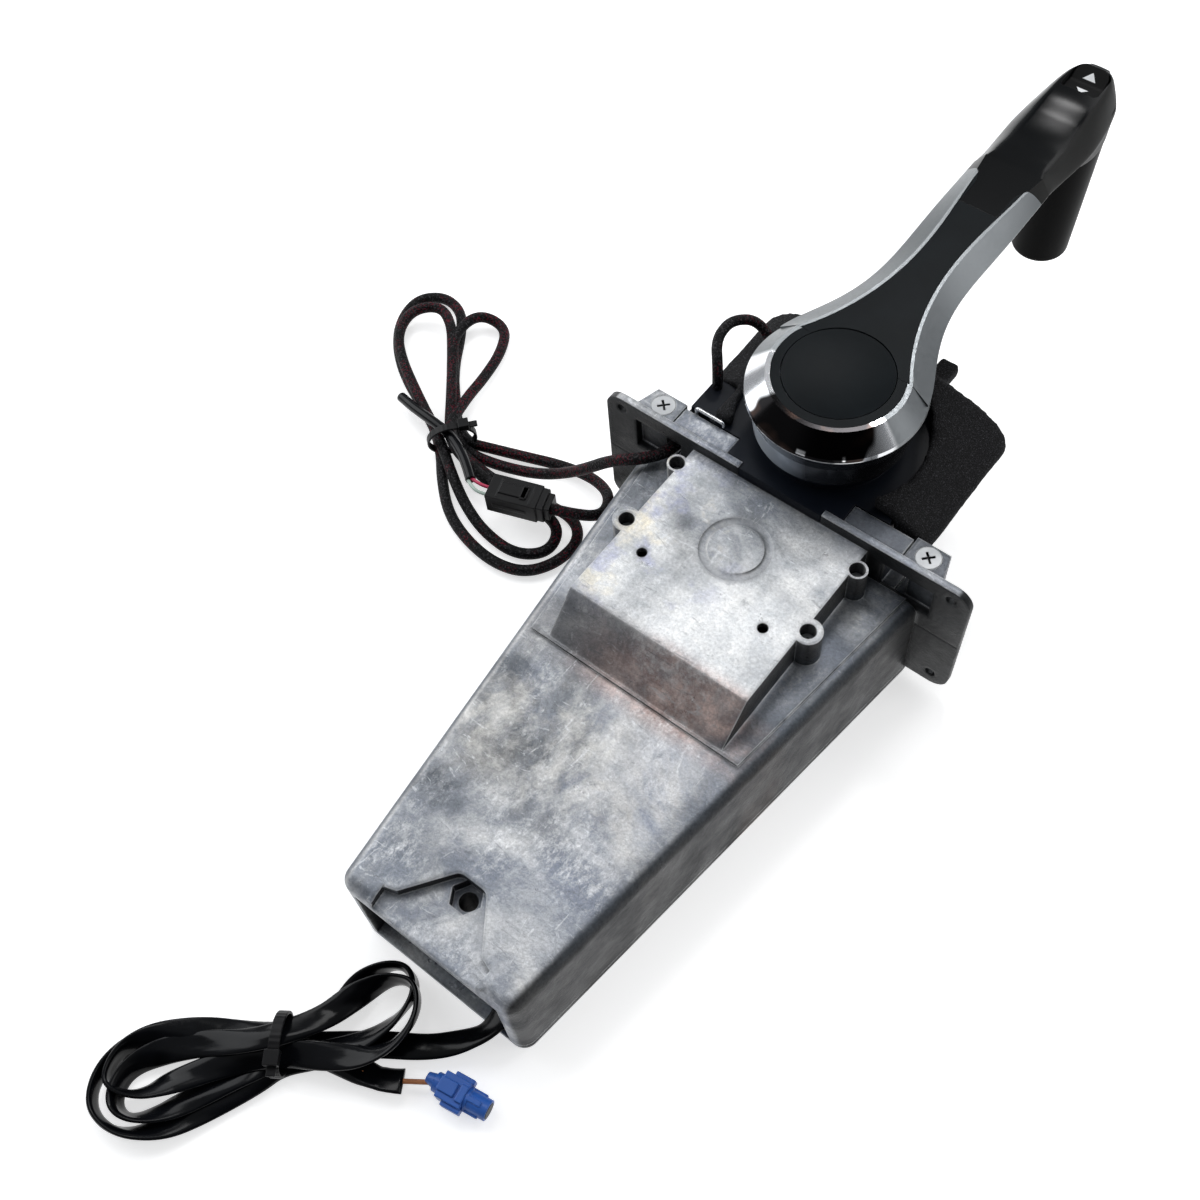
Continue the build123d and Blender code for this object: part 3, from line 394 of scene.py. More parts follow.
def rocker_plastic():
    """Matt black key with an up and a down triangle."""
    m = Finish("rocker_plastic", (0.01, 0.01, 0.011), 0.45, specular=0.08)
    x, y = m.math("ABSOLUTE", m.axis(0)), m.axis(1)
    triangles = []
    for low, high, tip, way in ROCKER_MARKS:
        from_tip = m.math("SUBTRACT", *((tip, y) if way > 0 else (y, tip)))
        inside = m.math("SUBTRACT", m.product(from_tip, 0.9), x)
        triangles.append(m.product(m.between(y, low, high, 0.00012), m.step(inside, -0.0001, 0.0001)))
    m.colour(m.ramp(m.noise(60, 3), (0.3, 0.003), (0.7, 0.006)))
    m.layer(m.math("MAXIMUM", *triangles), (0.8, 0.81, 0.82))
    return m.bump(m.noise(900, 3), 0.00005, 0.5, edge=0.0006)


def head_black():
    """Gloss on the head, matt and a little greyer on its broad right side."""
    m = Finish("gloss_black", (0.002, 0.0023, 0.0026), 0.16, specular=0.12)
    side = m.step(m.facing(0), 0.3, 0.6)
    m.colour(m.mix(side, (0.002, 0.0025, 0.003), (0.02, 0.02, 0.0195)))
    m.gloss(m.mix(side, 0.19, 0.5))
    return m.bump(m.noise(60, 2), 0.00002, 0.3, edge=0.0004)


# Hub of the lever: heights and radius of soft steps, and angles about the axis from +x.
SKIRT_TOP_Z, RING_FOOT_Z, RING_RADIUS = (0.1152, 0.1155), (0.1155, 0.1157), (0.0418, 0.0422)
RIM_Z, GLINT_Z = (0.1156, 0.1163), (0.1172, 0.119)
RING_TURN, DARK_REFLECTION_TURN = [[math.radians(v) for v in ends] for ends in ((-168, -19), (-126, -31))]
GLINT_TURNS = ((-1.43, -1.33), (-0.93, -0.9))


def lever_metal():
    """Satin trim, a mirror ring round the hub's front with a painted dark reflection, painted glints and a
    painted bright rim, and a skirt whose painted reflection darkens to the right.
    """
    m = Finish("lever_metal", (0.3, 0.31, 0.32), 0.3, 0.9)
    x, y, z = m.axis(0), m.math("SUBTRACT", m.axis(1), HUB_Y / 1000), m.axis(2)
    turn = m.math("ARCTAN2", y, x)
    skirt = m.rest(m.step(z, *SKIRT_TOP_Z))
    front = m.product(m.step(z, *RING_FOOT_Z), m.rest(m.step(m.away(x, y), *RING_RADIUS)),
                      m.between(turn, *RING_TURN, 0.05))

    # painted reflection: a dark band round the ring's front, its edge made wavy
    wave = m.product(m.math("SUBTRACT", m.noise(75, 1, 0.4), 0.5), 0.6)
    painted_dark_reflection = m.between(m.math("ADD", turn, wave), *DARK_REFLECTION_TURN, 0.05)
    # painted glints: bright lines in the dark reflection
    glint = m.math("MAXIMUM", *(m.between(turn, start, end, 0.01) for start, end in GLINT_TURNS))
    # brownish tones of the painted dark reflection
    rosy_reflection = m.ramp(m.noise(55, 2, 0.5), (0.5, (0.008, 0.0075, 0.008)), (0.68, (0.06, 0.036, 0.028)))
    dark = m.mix(m.product(glint, m.between(z, *GLINT_Z, 0.0003)), rosy_reflection, (0.9, 0.9, 0.9))
    mirror = m.mix(painted_dark_reflection, (0.8, 0.81, 0.83), dark)
    # painted highlight: a bright line along the ring's inner rim
    mirror = m.mix(m.between(z, *RIM_Z, 0.0002), mirror, (0.85, 0.86, 0.88))
    # painted reflection on the skirt: pale blue-grey on the left, darkening to black on the right
    share = m.product(m.math("ADD", turn, math.pi), 1 / math.pi)
    side = m.ramp(share, (0.3, (0.85, 0.92, 1.0)), (0.47, (0.5, 0.56, 0.64)),
                  (0.58, (0.05, 0.056, 0.068)), (0.8, (0.006, 0.006, 0.007)))

    m.colour(m.ramp(m.noise(14, 2), (0.3, (0.18, 0.192, 0.2)), (0.7, (0.225, 0.238, 0.247))))
    # pale edges on the trim: part wear, part painted highlight
    m.layer(m.edge_wear_and_light(0.0006, 0.2), (0.36, 0.375, 0.39))
    m.layer(front, mirror)
    m.layer(skirt, side)
    m.put(m.inputs["Metallic"], m.math("SUBTRACT", 0.95, m.product(skirt, 0.5)))
    satin_gloss = m.ramp(m.noise(700, 3), (0.3, 0.3), (0.7, 0.4))
    m.gloss(m.mix(skirt, m.mix(front, satin_gloss, 0.11), 0.18))
    return m.bump(m.noise(1200, 2), 0.00001, 0.2)


def braided():
    """Near black braid with a broken red tracer."""
    m = Finish("braided_mesh", (0.008, 0.0075, 0.008), 0.55, specular=0.12)
    m.colour(m.ramp(m.noise(1000, 2, 0.5), (0.52, (0.003, 0.003, 0.0035)), (0.68, (0.045, 0.043, 0.047))))
    red = m.product(m.ramp(m.noise(60, 2, 0.5), (0.44, 0.0), (0.56, 1.0)),
                    m.ramp(m.noise(900, 2, 0.5), (0.54, 0.0), (0.62, 1.0)))
    m.layer(red, (0.1, 0.006, 0.016))
    return m.bump(m.cells(1100), 0.0004, 0.8)


def smooth_sleeve():
    m = Finish("smooth_sleeve", (0.003, 0.003, 0.0035), 0.24, specular=0.17)
    m.colour(m.ramp(m.noise(60, 3), (0.3, (0.0016, 0.0018, 0.0022)), (0.7, (0.004, 0.0045, 0.006))))
    m.gloss(m.ramp(m.noise(60, 3), (0.35, 0.14), (0.7, 0.22)))
    return m.bump(m.noise(75, 2, 0.5, distortion=0.4), 0.0007, 0.35)


def foam_rubber():
    m = Finish("black_foam", (0.008, 0.008, 0.009), 0.8, specular=0.25)
    m.colour(m.ramp(m.noise(1900, 2, 0.5), (0.5, (0.002, 0.002, 0.0025)),
                    (0.6, (0.012, 0.012, 0.014)), (0.74, (0.07, 0.07, 0.078))))
    return m.bump(m.cells(1500), 0.0004, 0.9)


CAST, SCREW, BRIGHT, STEEL, BRONZE = cast_aluminium(), screw_steel(), bright_steel(), machined_steel(), bronze()
NAVY = plastic("navy_plastic", (0.003, 0.0045, 0.0085), (0.006, 0.0085, 0.0145), 0.42, specular=0.15)
BLACK = plastic("black_plastic", (0.003, 0.003, 0.0034), (0.007, 0.007, 0.0078), 0.38, specular=0.18)
PANEL = plastic("charcoal_panel", (0.0025, 0.0042, 0.0055), (0.0045, 0.007, 0.0088), 0.38,
                grain=1600, depth=0.00002, edge=0.0, specular=0.07)
GRIP = plastic("grip_black", (0.0015, 0.0015, 0.0017), (0.003, 0.003, 0.0031), 0.4,
               grain=500, depth=0.00003, specular=0.04)
BLUE = plastic("blue_plastic", (0.02, 0.1, 0.42), (0.035, 0.15, 0.56), 0.38)
WIRE = plastic("wire_orange", (0.4, 0.14, 0.05), (0.55, 0.22, 0.09), 0.4)
PINK = plastic("wire_pink", (0.5, 0.03, 0.09), (0.68, 0.06, 0.14), 0.4)
PALE = plastic("wire_pale", (0.4, 0.5, 0.44), (0.52, 0.62, 0.55), 0.4)
GLOSS, ROCKER, LEVER = head_black(), rocker_plastic(), lever_metal()
BRAID, SLEEVE, FOAM = braided(), smooth_sleeve(), foam_rubber()

NODE_FINISH = {
    CAST: ("front_housing", "rear_housing", "neck_frame", "grip_core"),
    SCREW: ("housing_screws", "lug_screws"),
    BRIGHT: ("harness_clip", "cable_clamp_screw", "grip_screw", "lever_bolt"),
    STEEL: ("gear_pin", "shift_pin", "detent_sleeve", "detent_plunger", "detent_spring", "cable_clamp",
            "main_shaft", "drive_gear", "shaft_clip", "rocker_pin", "button_spring", "throttle_gear",
            "shift_link", "shift_arm"),
    BRONZE: ("shaft_bushes",),
    NAVY: ("pod_base",),
    BLACK: ("neutral_switch", "rocker_switch", "braid_tie", "braid_connector", "sleeve_tie"),
    ROCKER: ("trim_rocker",),
    LEVER: ("lever_arm",),
    PANEL: ("lever_inlay", "throttle_only_button"),
    GLOSS: ("handle_shell",),
    GRIP: ("grip",),
    FOAM: ("foam_wrap",),
    BRAID: ("braid_lead", "braid_hank", "trim_lead"),
    SLEEVE: ("sleeve_lead", "sleeve_hank"),
    BLUE: ("blue_connector",),
    WIRE: ("blue_wire",),
}


def finish_nodes():
    for material, names in NODE_FINISH.items():
        for name in names:
            mesh = NODES[name].data
            mesh.materials.clear()
            mesh.materials.append(material)


# ------------------------------------------------------------ mesh helpers, in millimetres
BOX_FACES = ((0, 1, 3, 2), (4, 6, 7, 5), (0, 4, 5, 1), (2, 3, 7, 6), (0, 2, 6, 4), (1, 5, 7, 3))


def metres(points):
    return [tuple(v / 1000 for v in point) for point in points]


def placed(x, y, z, turn):
    return Matrix.Translation(Vector((x, y, z)) / 1000) @ Matrix.Rotation(math.radians(turn), 4, "Z")


def link_object(name, data):
    obj = bpy.data.objects.new(name, data)
    bpy.context.collection.objects.link(obj)
    return obj


def piece(name, verts, faces, material, body="housing", smooth=True, bevel=0.0):
    """A visible piece from vertices in metres, riding on this body."""
    mesh = bpy.data.meshes.new(name)
    mesh.from_pydata([tuple(v) for v in verts], [], faces)
    shape = bmesh.new()
    shape.from_mesh(mesh)
    bmesh.ops.remove_doubles(shape, verts=shape.verts, dist=1e-7)
    bmesh.ops.recalc_face_normals(shape, faces=shape.faces)
    shape.to_mesh(mesh)
    shape.free()
    mesh.polygons.foreach_set("use_smooth", [smooth] * len(mesh.polygons))
    mesh.materials.append(material)
    obj = link_object(name, mesh)
    if bevel:
        edge = obj.modifiers.new("edge", "BEVEL")
        edge.width, edge.segments, edge.limit_method = bevel, 3, "ANGLE"
        edge.harden_normals = True
    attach(obj, body)
    return obj


def add_block(verts, faces, place, centre, size):
    first = len(verts)
    for i in range(8):
        corner = [c + (0.5 if i >> k & 1 else -0.5) * s for k, (c, s) in enumerate(zip(centre, size))]
        verts.append(place @ (Vector(corner) / 1000))
    faces += [[first + k for k in face] for face in BOX_FACES]


def blocks(name, place, parts, material):
    """Moulded blocks, each (centre, size) in the frame place."""
    verts, faces = [], []
    for centre, size in parts:
        add_block(verts, faces, place, centre, size)
    return piece(name, verts, faces, material, smooth=False, bevel=0.0005)


def tube_wall(first, rows, sides):
    """Quads between the rows of a tube that starts at the vertex first."""
    quads = []
    for row in range(rows - 1):
        for k in range(sides):
            a, b = first + row * sides + k, first + row * sides + (k + 1) % sides
            quads.append((a, b, b + sides, a + sides))
    return quads


def rods(place, bars, sides=28):
    """Round bars on the x axis of the frame place: start, end and the radius at each."""
    verts, faces = [], []
    for start, end, first_radius, last_radius in bars:
        first = len(verts)
        for x, radius in ((start, first_radius), (end, last_radius)):
            for k in range(sides):
                turn = 2 * math.pi * k / sides
                rim = Vector((x, radius * math.cos(turn), radius * math.sin(turn)))
                verts.append(place @ (rim / 1000))
        faces += tube_wall(first, 2, sides)
        faces += [list(range(first, first + sides))[::-1], list(range(first + sides, first + 2 * sides))]
    return verts, faces


# How a lay-flat tube lies: closest points of its line in metres, its lean in a bend, the sway of its
# lean along a run, and the size, rate and folds of the creases in its skin. Angles are in radians.
CLOSEST = 0.0008
MOST_LEAN, LEAN_RATE = 1.4, 0.02
SWAY, SWAY_RATE = 0.22, 37
CREASES = ((0.16, 120, 3), (0.08, 290, 5))
FLAT_SIDES, FLAT_ROUNDNESS = 20, 0.8


def spline(name, points, radius=0.0):
    """Smooth round tube, or a bare line, through a route's control points; its radius is in metres."""
    curve = bpy.data.curves.new(name, "CURVE")
    curve.dimensions = "3D"
    line = curve.splines.new("NURBS")
    line.points.add(len(points) - 1)
    for spot, point in zip(line.points, metres(points)):
        spot.co = (*point, 1)
    line.order_u = 3
    line.use_endpoint_u = True
    line.resolution_u = 10
    curve.bevel_depth, curve.bevel_resolution = radius, 6
    curve.use_fill_caps = True
    return link_object(name, curve)


def cord(name, points, diameter, material, **facts):
    obj = spline(name, points, diameter / 2000)
    obj.data.materials.append(material)
    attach(obj, "housing")
    return obj


def centre_line(points):
    """Points along the smooth line of a route, none closer than CLOSEST to the one before."""
    obj = spline("line", points)
    bpy.context.view_layer.update()
    mesh = bpy.data.meshes.new_from_object(obj)
    line = [mesh.vertices[0].co.copy()]
    for vertex in mesh.vertices[1:]:
        if (vertex.co - line[-1]).length > CLOSEST:
            line.append(vertex.co.copy())
    curve = obj.data
    bpy.data.objects.remove(obj)
    bpy.data.curves.remove(curve)
    bpy.data.meshes.remove(mesh)
    return line


def clamped(value):
    return max(-1.0, min(1.0, value))


def bend(line, i, reach=8):
    """Signed curvature in plan, per metre, over this many points to each side."""
    back, ahead = line[max(i - reach, 0)], line[min(i + reach, len(line) - 1)]
    before, after = line[i] - back, ahead - line[i]
    if before.length < 0.002 or after.length < 0.002:
        return 0.0
    turn = before.normalized().cross(after.normalized()).z
    return 2 * math.asin(clamped(turn)) / (before.length + after.length)


def evened(values, reach=6):
    """Each value as the mean of those up to this many places to each side."""
    near = [values[max(i - reach, 0):i + reach + 1] for i in range(len(values))]
    return [sum(group) / len(group) for group in near]


def flat_cord(name, points, width, thick, material, **facts):
    """Lay-flat tube that lies flat on its runs, stands on edge in its bends and creases on its way."""
    line = centre_line(points)
    travels = [0.0]
    for before, after in zip(line, line[1:]):
        travels.append(travels[-1] + (after - before).length)
    leans = evened([MOST_LEAN * clamped(LEAN_RATE * bend(line, i)) for i in range(len(line))])
    leans = [lean + SWAY * math.sin(travel * SWAY_RATE) for lean, travel in zip(leans, travels)]
    lowest = [(width * abs(math.sin(lean)) + thick) / 2000 for lean in leans]
    heights = evened([max(spot.z, low) for spot, low in zip(line, lowest)])
    line = [Vector((spot.x, spot.y, height)) for spot, height in zip(line, heights)]
    verts = []
    for i, (spot, lean, travel) in enumerate(zip(line, leans, travels)):
        ahead = (line[min(i + 1, len(line) - 1)] - line[max(i - 1, 0)]).normalized()
        across = ahead.cross(Vector((0, 0, 1))).normalized()
        upward = across.cross(ahead).normalized()
        side = math.cos(lean) * across + math.sin(lean) * upward
        rise = -math.sin(lean) * across + math.cos(lean) * upward
        for k in range(FLAT_SIDES):
            turn = 2 * math.pi * k / FLAT_SIDES
            bulge = sum((size * math.sin(travel * rate + folds * turn) for size, rate, folds in CREASES), 1)
            height = thick / 2000 * bulge * math.copysign(abs(math.sin(turn)) ** FLAT_ROUNDNESS, math.sin(turn))
            verts.append(spot + side * (width / 2000 * math.cos(turn)) + rise * height)
    faces = tube_wall(0, len(line), FLAT_SIDES)
    faces += [list(range(FLAT_SIDES)), list(range(len(verts) - FLAT_SIDES, len(verts)))[::-1]]
    obj = piece(name, verts, faces, material)
    return obj


def cable_tie(name, centre, along, half_wide, half_high, width, thick, lock):
    """Ribbed strap round a bundle that runs along this direction, with its lock and cut tail."""
    forward, up = Vector((*along, 0)).normalized(), Vector((0, 0, 1))
    across = forward.cross(up)
    middle = Vector(centre) / 1000
    verts, faces, sides = [], [], 72
    for k in range(sides):
        turn = 2 * math.pi * k / sides
        out = (across * math.cos(turn) * half_wide + up * math.sin(turn) * half_high) / 1000
        outside = thick + (0.12 if k % 2 else 0.0)
        for lift, shift in ((0, -1), (outside, -1), (outside, 1), (0, 1)):
            verts.append(middle + out + out.normalized() * (lift / 1000) + forward * (shift * width / 2000))
    for k in range(sides):
        a, b = 4 * k, 4 * ((k + 1) % sides)
        faces += [(a + j, a + (j + 1) % 4, b + (j + 1) % 4, b + j) for j in range(4)]
    corner = middle + (across * half_wide * 0.62 + up * (half_high * 0.9 + 0.4)) / 1000
    place = Matrix.Translation(corner) @ Matrix((forward, across, up)).transposed().to_4x4()
    add_block(verts, faces, place, (0, 0, 0.9), (lock, lock, 3.6))
    add_block(verts, faces, place, (0.2, 4.6, -0.6), (width * 0.85, 5, 1.1))
    return piece(name, verts, faces, BLACK, smooth=False, bevel=0.00025)


# ------------------------------------------------------------ handle
HEAD_START = 145.0  # from the hub; nearer than this the solid's own root shows
HEAD_ROWS = 64
# station from the hub, half width and height of the top, of the side's crest and of the underside
HEAD = (
    (145, 14.3, 130.15, 19.45, 123.1, 12.5, 113.15),
    (156, 14.0, 128.9, 19.9, 121.8, 11.8, 112.0),
    (170, 13.4, 127.8, 20.8, 120.4, 10.5, 108.0),
    (184, 12.8, 129.2, 21.3, 119.6, 12.0, 101.0),
    (196, 12.6, 131.6, 20.5, 119.6, 15.6, 96.0),
    (207, 12.4, 132.3, 19.0, 119.8, 17.2, 94.5),
    (216, 11.2, 132.3, 16.8, 120.2, 15.6, 95.5),
    (222, 8.8, 131.8, 13.2, 121.0, 11.8, 98.0),
    (226, 5.6, 130.4, 7.6, 122.0, 6.6, 104.0),
)


def between_rows(rows, at):
    """Smooth values at this station."""
    i = max(k for k in range(len(rows) - 1) if rows[k][0] <= at)
    near = [rows[min(max(i + k, 0), len(rows) - 1)] for k in (-1, 0, 1, 2)]
    t = (at - near[1][0]) / (near[2][0] - near[1][0])
    values = []
    for a, b, c, d in zip(*(row[1:] for row in near)):
        start, end = (c - a) / 2, (d - b) / 2
        values.append((2 * t ** 3 - 3 * t * t + 1) * b + (t ** 3 - 2 * t * t + t) * start
                      + (3 * t * t - 2 * t ** 3) * c + (t ** 3 - t * t) * end)
    return values


def head_section(at):
    """Outline across the head in x and z, its corners cut round. It starts sharp, as the root ends."""
    top, top_z, side, side_z, under, under_z = between_rows(HEAD, at)
    settled = min((at - HEAD_START) / 12, 1)
    share = 0.06 + 0.19 * min(2 * settled, 1)
    half = [(0, top_z + 0.5 * settled), (top * 0.62, top_z + 0.35 * settled), (top, top_z),
            (side, side_z), (side - 0.6, side_z - 2.2), (under, under_z), (0, under_z)]
    ring = half + [(-x, z) for x, z in half[-2:0:-1]]
    for _ in range(3):
        cut = []
        for (ax, az), (bx, bz) in zip(ring, ring[1:] + ring[:1]):
            dx, dz = (bx - ax) * share, (bz - az) * share
            cut += [(ax + dx, az + dz), (bx - dx, bz - dz)]
        ring = cut
    return ring


def shell_root():
    """The solid's own handle shell, cut off where the head starts."""
    root = bmesh.new()
    root.from_mesh(NODES["handle_shell"].data)
    bmesh.ops.bisect_plane(root, geom=root.verts[:] + root.edges[:] + root.faces[:],
                           plane_co=(0, (HUB_Y + HEAD_START) / 1000, 0), plane_no=(0, 1, 0),
                           clear_outer=True)
    root.verts.index_update()
    verts = [v.co.copy() for v in root.verts]
    faces = [[v.index for v in face.verts] for face in root.faces]
    root.free()
    return verts, faces


def make_handle():
    """Moulded head: its crest flares down round the grip, and the trim switch sits in its well."""
    verts, faces = shell_root()
    first, length = len(verts), HEAD[-1][0] - HEAD_START
    stations = [HEAD_START + length * k / HEAD_ROWS for k in range(HEAD_ROWS + 1)]
    for at in stations:
        section = head_section(at)
        verts += [Vector((x, HUB_Y + at, z)) / 1000 for x, z in section]
    faces += tube_wall(first, len(stations), len(section))
    faces.append(list(range(len(verts) - len(section), len(verts))))
    head = piece("handle_head", verts, faces, GLOSS, "lever")
    cutter = well_cutter()
    cut = head.modifiers.new("well", "BOOLEAN")
    cut.operation, cut.solver, cut.object = "DIFFERENCE", "EXACT", cutter
    graph = bpy.context.evaluated_depsgraph_get()
    mesh = bpy.data.meshes.new_from_object(head.evaluated_get(graph))
    head.modifiers.clear()
    head.data = mesh
    bpy.data.objects.remove(cutter)
    mesh.materials.clear()
    mesh.materials.append(GLOSS)
    mesh.set_sharp_from_angle(angle=math.radians(28))
    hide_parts("handle_shell")


def well_cutter():
    """Well of the trim switch, round at its far end."""
    half, corner, chamfer, near, far, floor, above = 9.6, 5.6, 1.5, 233.0, 252.0, 121.5, 140
    outline = [(-half, near + chamfer), (-half + chamfer, near), (half - chamfer, near), (half, near + chamfer)]
    for side, angles in ((1, range(0, 91, 15)), (-1, range(90, -1, -15))):
        for turn in map(math.radians, angles):
            outline.append((side * (half - corner + corner * math.cos(turn)),
                            far - corner + corner * math.sin(turn)))
    verts = [Vector((x, y, z)) / 1000 for z in (floor, above) for x, y in outline]
    n = len(outline)
    mesh = bpy.data.meshes.new("cutter")
    mesh.from_pydata(verts, [], [list(range(n))[::-1], list(range(n, 2 * n))] + tube_wall(0, 2, n))
    return link_object("cutter", mesh)


# ------------------------------------------------------------ foam
def make_foam():
    """Firm die-cut foam: soft cut edges and a slightly uneven skin."""
    source = link_object("foam_source", NODES["foam_wrap"].data.copy())
    remesh = source.modifiers.new("remesh", "REMESH")
    remesh.mode, remesh.voxel_size = "VOXEL", 0.0016
    relax = source.modifiers.new("relax", "SMOOTH")
    relax.factor, relax.iterations = 0.5, 5
    graph = bpy.context.evaluated_depsgraph_get()
    mesh = bpy.data.meshes.new_from_object(source.evaluated_get(graph))
    bpy.data.objects.remove(source)
    for vertex, normal in zip(mesh.vertices, [n.vector.copy() for n in mesh.vertex_normals]):
        lift = sum(height * noise.noise(vertex.co * rate) for height, rate in ((0.00045, 60), (0.00018, 400)))
        vertex.co += normal * lift
    mesh.polygons.foreach_set("use_smooth", [True] * len(mesh.polygons))
    mesh.materials.clear()
    mesh.materials.append(FOAM)
    foam = link_object("foam_pad", mesh)
    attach(foam, "housing")
    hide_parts("foam_wrap")


# ------------------------------------------------------------ harnesses
BRAID_LENGTH, TAIL_LENGTH, SLEEVE_LENGTH, WIRE_LENGTH = 1.34, 0.078, 0.96, 0.032  # metres


def upper(k, z):
    """Place in the braided hank's tie, k millimetres across it."""
    return (-184 + 0.65 * k, -38 + 0.76 * k, z)


def lower(k, z):
    """Place in the sleeve hank's tie."""
    return (-35.5 - 0.57 * k, -316.5 + 0.82 * k, z)


BRAID_ROUTE = [
    (-59.8, 4.8, 67), (-59.8, -10, 67), (-68.5, -22, 67), (-83, -27.5, 60.5), (-98, -28.5, 43),
    (-115, -27, 23), (-133, -28.5, 9), (-153, -33, 4), (-170, -36.5, 3.5), upper(3, 3.5),
    (-201, -18, 3.5), (-219, 2, 3.5), (-231, 22, 3.5), (-242, 35, 3.5), (-257, 38, 3.5),
    (-269, 28, 3.5), (-266, 9, 3.5), (-252, -8, 3.5), (-232, -21, 3.5), (-207, -31, 3.5), upper(-7, 3.5),
    (-174, -59, 3.5), (-158, -72, 3.5), (-139, -79, 3.5), (-119, -81, 3.5), (-103, -76, 3.5),
    (-94, -62, 3.5), (-93, -46, 3.5), (-102, -37, 3.5), (-118, -37, 3.5), (-136, -41, 3.5),
    (-157, -43, 5), upper(-2, 9),
    (-204, -16, 9), (-223, 6, 7), (-237, 22, 9), (-251, 28, 9.5), (-262, 16, 9.5), (-257, -1, 9.5),
    (-243, -13, 9.5), (-222, -25, 9.5), upper(-6, 9),
    (-171, -54, 8), (-153, -64, 5), (-135, -70, 3.6), (-114, -71, 3.6), (-101, -60, 3.6), (-105, -46, 5),
    (-120, -44, 7), (-138, -47, 8), (-158, -47, 9), upper(-4, 14.5),
    (-196, -14, 9), (-200, 6, 5), (-205, 26, 3.6), (-214, 41, 3.6), (-231, 37, 8), (-231, 16, 9),
    (-217, 0, 6), (-203, -15, 4), (-191, -27, 3.6), upper(8, 3.6),
    (-170, -29, 4), (-150, -22, 4), (-128, -14, 4), (-108, -12, 6), (-93, -19, 11), (-87, -33, 16),
    (-98, -42, 19), (-110, -46.2, 19)]
TAIL_ROUTE = [
    (-226, -32, 8), (-214, -35, 11), (-200, -37, 14), upper(-1, 15), (-172, -44, 16), (-162, -50, 17.5),
    (-154, -56, 18.6)]
SLEEVE_ROUTE = [
    (23, -213, 15), (29, -236, 12.5), (31, -257.5, 9.2), (23.5, -269, 5.6), (12.5, -280, 4.7),
    (-3, -290, 5), (-19, -302, 4), lower(2, 3.5),
    (-54, -326, 3.5), (-72, -336, 3.5), (-87, -352, 3.5), (-91, -371, 3.5), (-82, -384, 3.5),
    (-66, -384, 3.5), (-53, -372, 3.5), (-44, -353, 3.5), (-36, -334, 3.5), lower(-6, 4),
    (-18, -306, 5), (-8, -292, 9), (-4, -278, 9), (-6, -264, 6), (-17, -259, 4), (-27, -269, 3.5),
    (-28, -286, 3.5), (-31, -301, 4), lower(6, 8),
    (-51, -322, 8), (-68, -333, 8), (-83, -348, 8), (-90, -361, 8), (-84, -374, 8), (-71, -370, 8),
    (-59, -351, 8), (-48, -334, 8), lower(-3, 9),
    (-17, -309, 11), (-3, -299, 13), (4, -287, 14), (3, -273, 13), (-7, -263, 10), (-18, -267, 8),
    (-25, -282, 8), (-29, -298, 9), lower(4, 13),
    (-48, -325, 12), (-64, -337, 8), (-77, -351, 6), (-82, -365, 5), (-76, -377, 5), (-65, -377, 5),
    (-55, -363, 5), (-47, -346, 5), (-40, -332, 5), lower(-1, 5), (-22, -309, 4.5),
    (-10, -305.5, 6), (-2, -303.5, 6), (7, -301, 5.2), (14, -296, 5.4)]
WIRE_ROUTE = [(-2, -303.5, 6), (7, -301, 5.2), (14, -296, 5.4), (25.5, -288.2, 7)]

CONNECTOR_AT = (-127, -51, 19, 19)
CONNECTOR = (
    ((-1, 0, 0), (27, 14.6, 12.6)), ((-12.5, 0, 0), (3.6, 12.4, 10.6)), ((13.8, 0, 0), (4.4, 13.2, 11.4)),
    ((17.2, 0, 0), (3.4, 10.4, 9)), ((-1, 0, 6.4), (15, 7, 1.2)), ((4.5, 0, 6.6), (3, 8.4, 0.8)),
    ((-2, 7.2, 0), (18, 0.8, 3)), ((-2, -7.2, 0), (18, 0.8, 3)), ((-8.6, 0, 5.9), (1.2, 12, 1.2)),
    ((8.6, 0, 5.9), (1.2, 12, 1.2)))
PLUG_AT = (35.5, -286, 7, 10)
PLUG_SHELL = (
    ((-1.5, 0, 0), (12, 11.4, 9)), ((-4, 0, 4.7), (8, 6, 1.6)), ((2.8, 0, 4.9), (3.4, 7.4, 1.4)),
    ((0.5, 6.4, 0.6), (9, 2.2, 5)), ((0.5, -6.4, 0.6), (9, 2.2, 5)), ((8, 4.6, 0), (8, 1.2, 2.6)),
    ((8, -4.6, 0), (8, 1.2, 2.6)), ((8.4, 0, 4.5), (7, 2.4, 1.2)))
PLUG_BARRELS = ((-14.5, -10.5, 2.2, 3.2), (-10.5, -7, 4.2, 4.4), (4, 15, 4.7, 4.5), (4.4, 6, 5.1, 5.1))
PLUG_MOUTH = ((14.9, 15.15, 3.5, 3.5),)


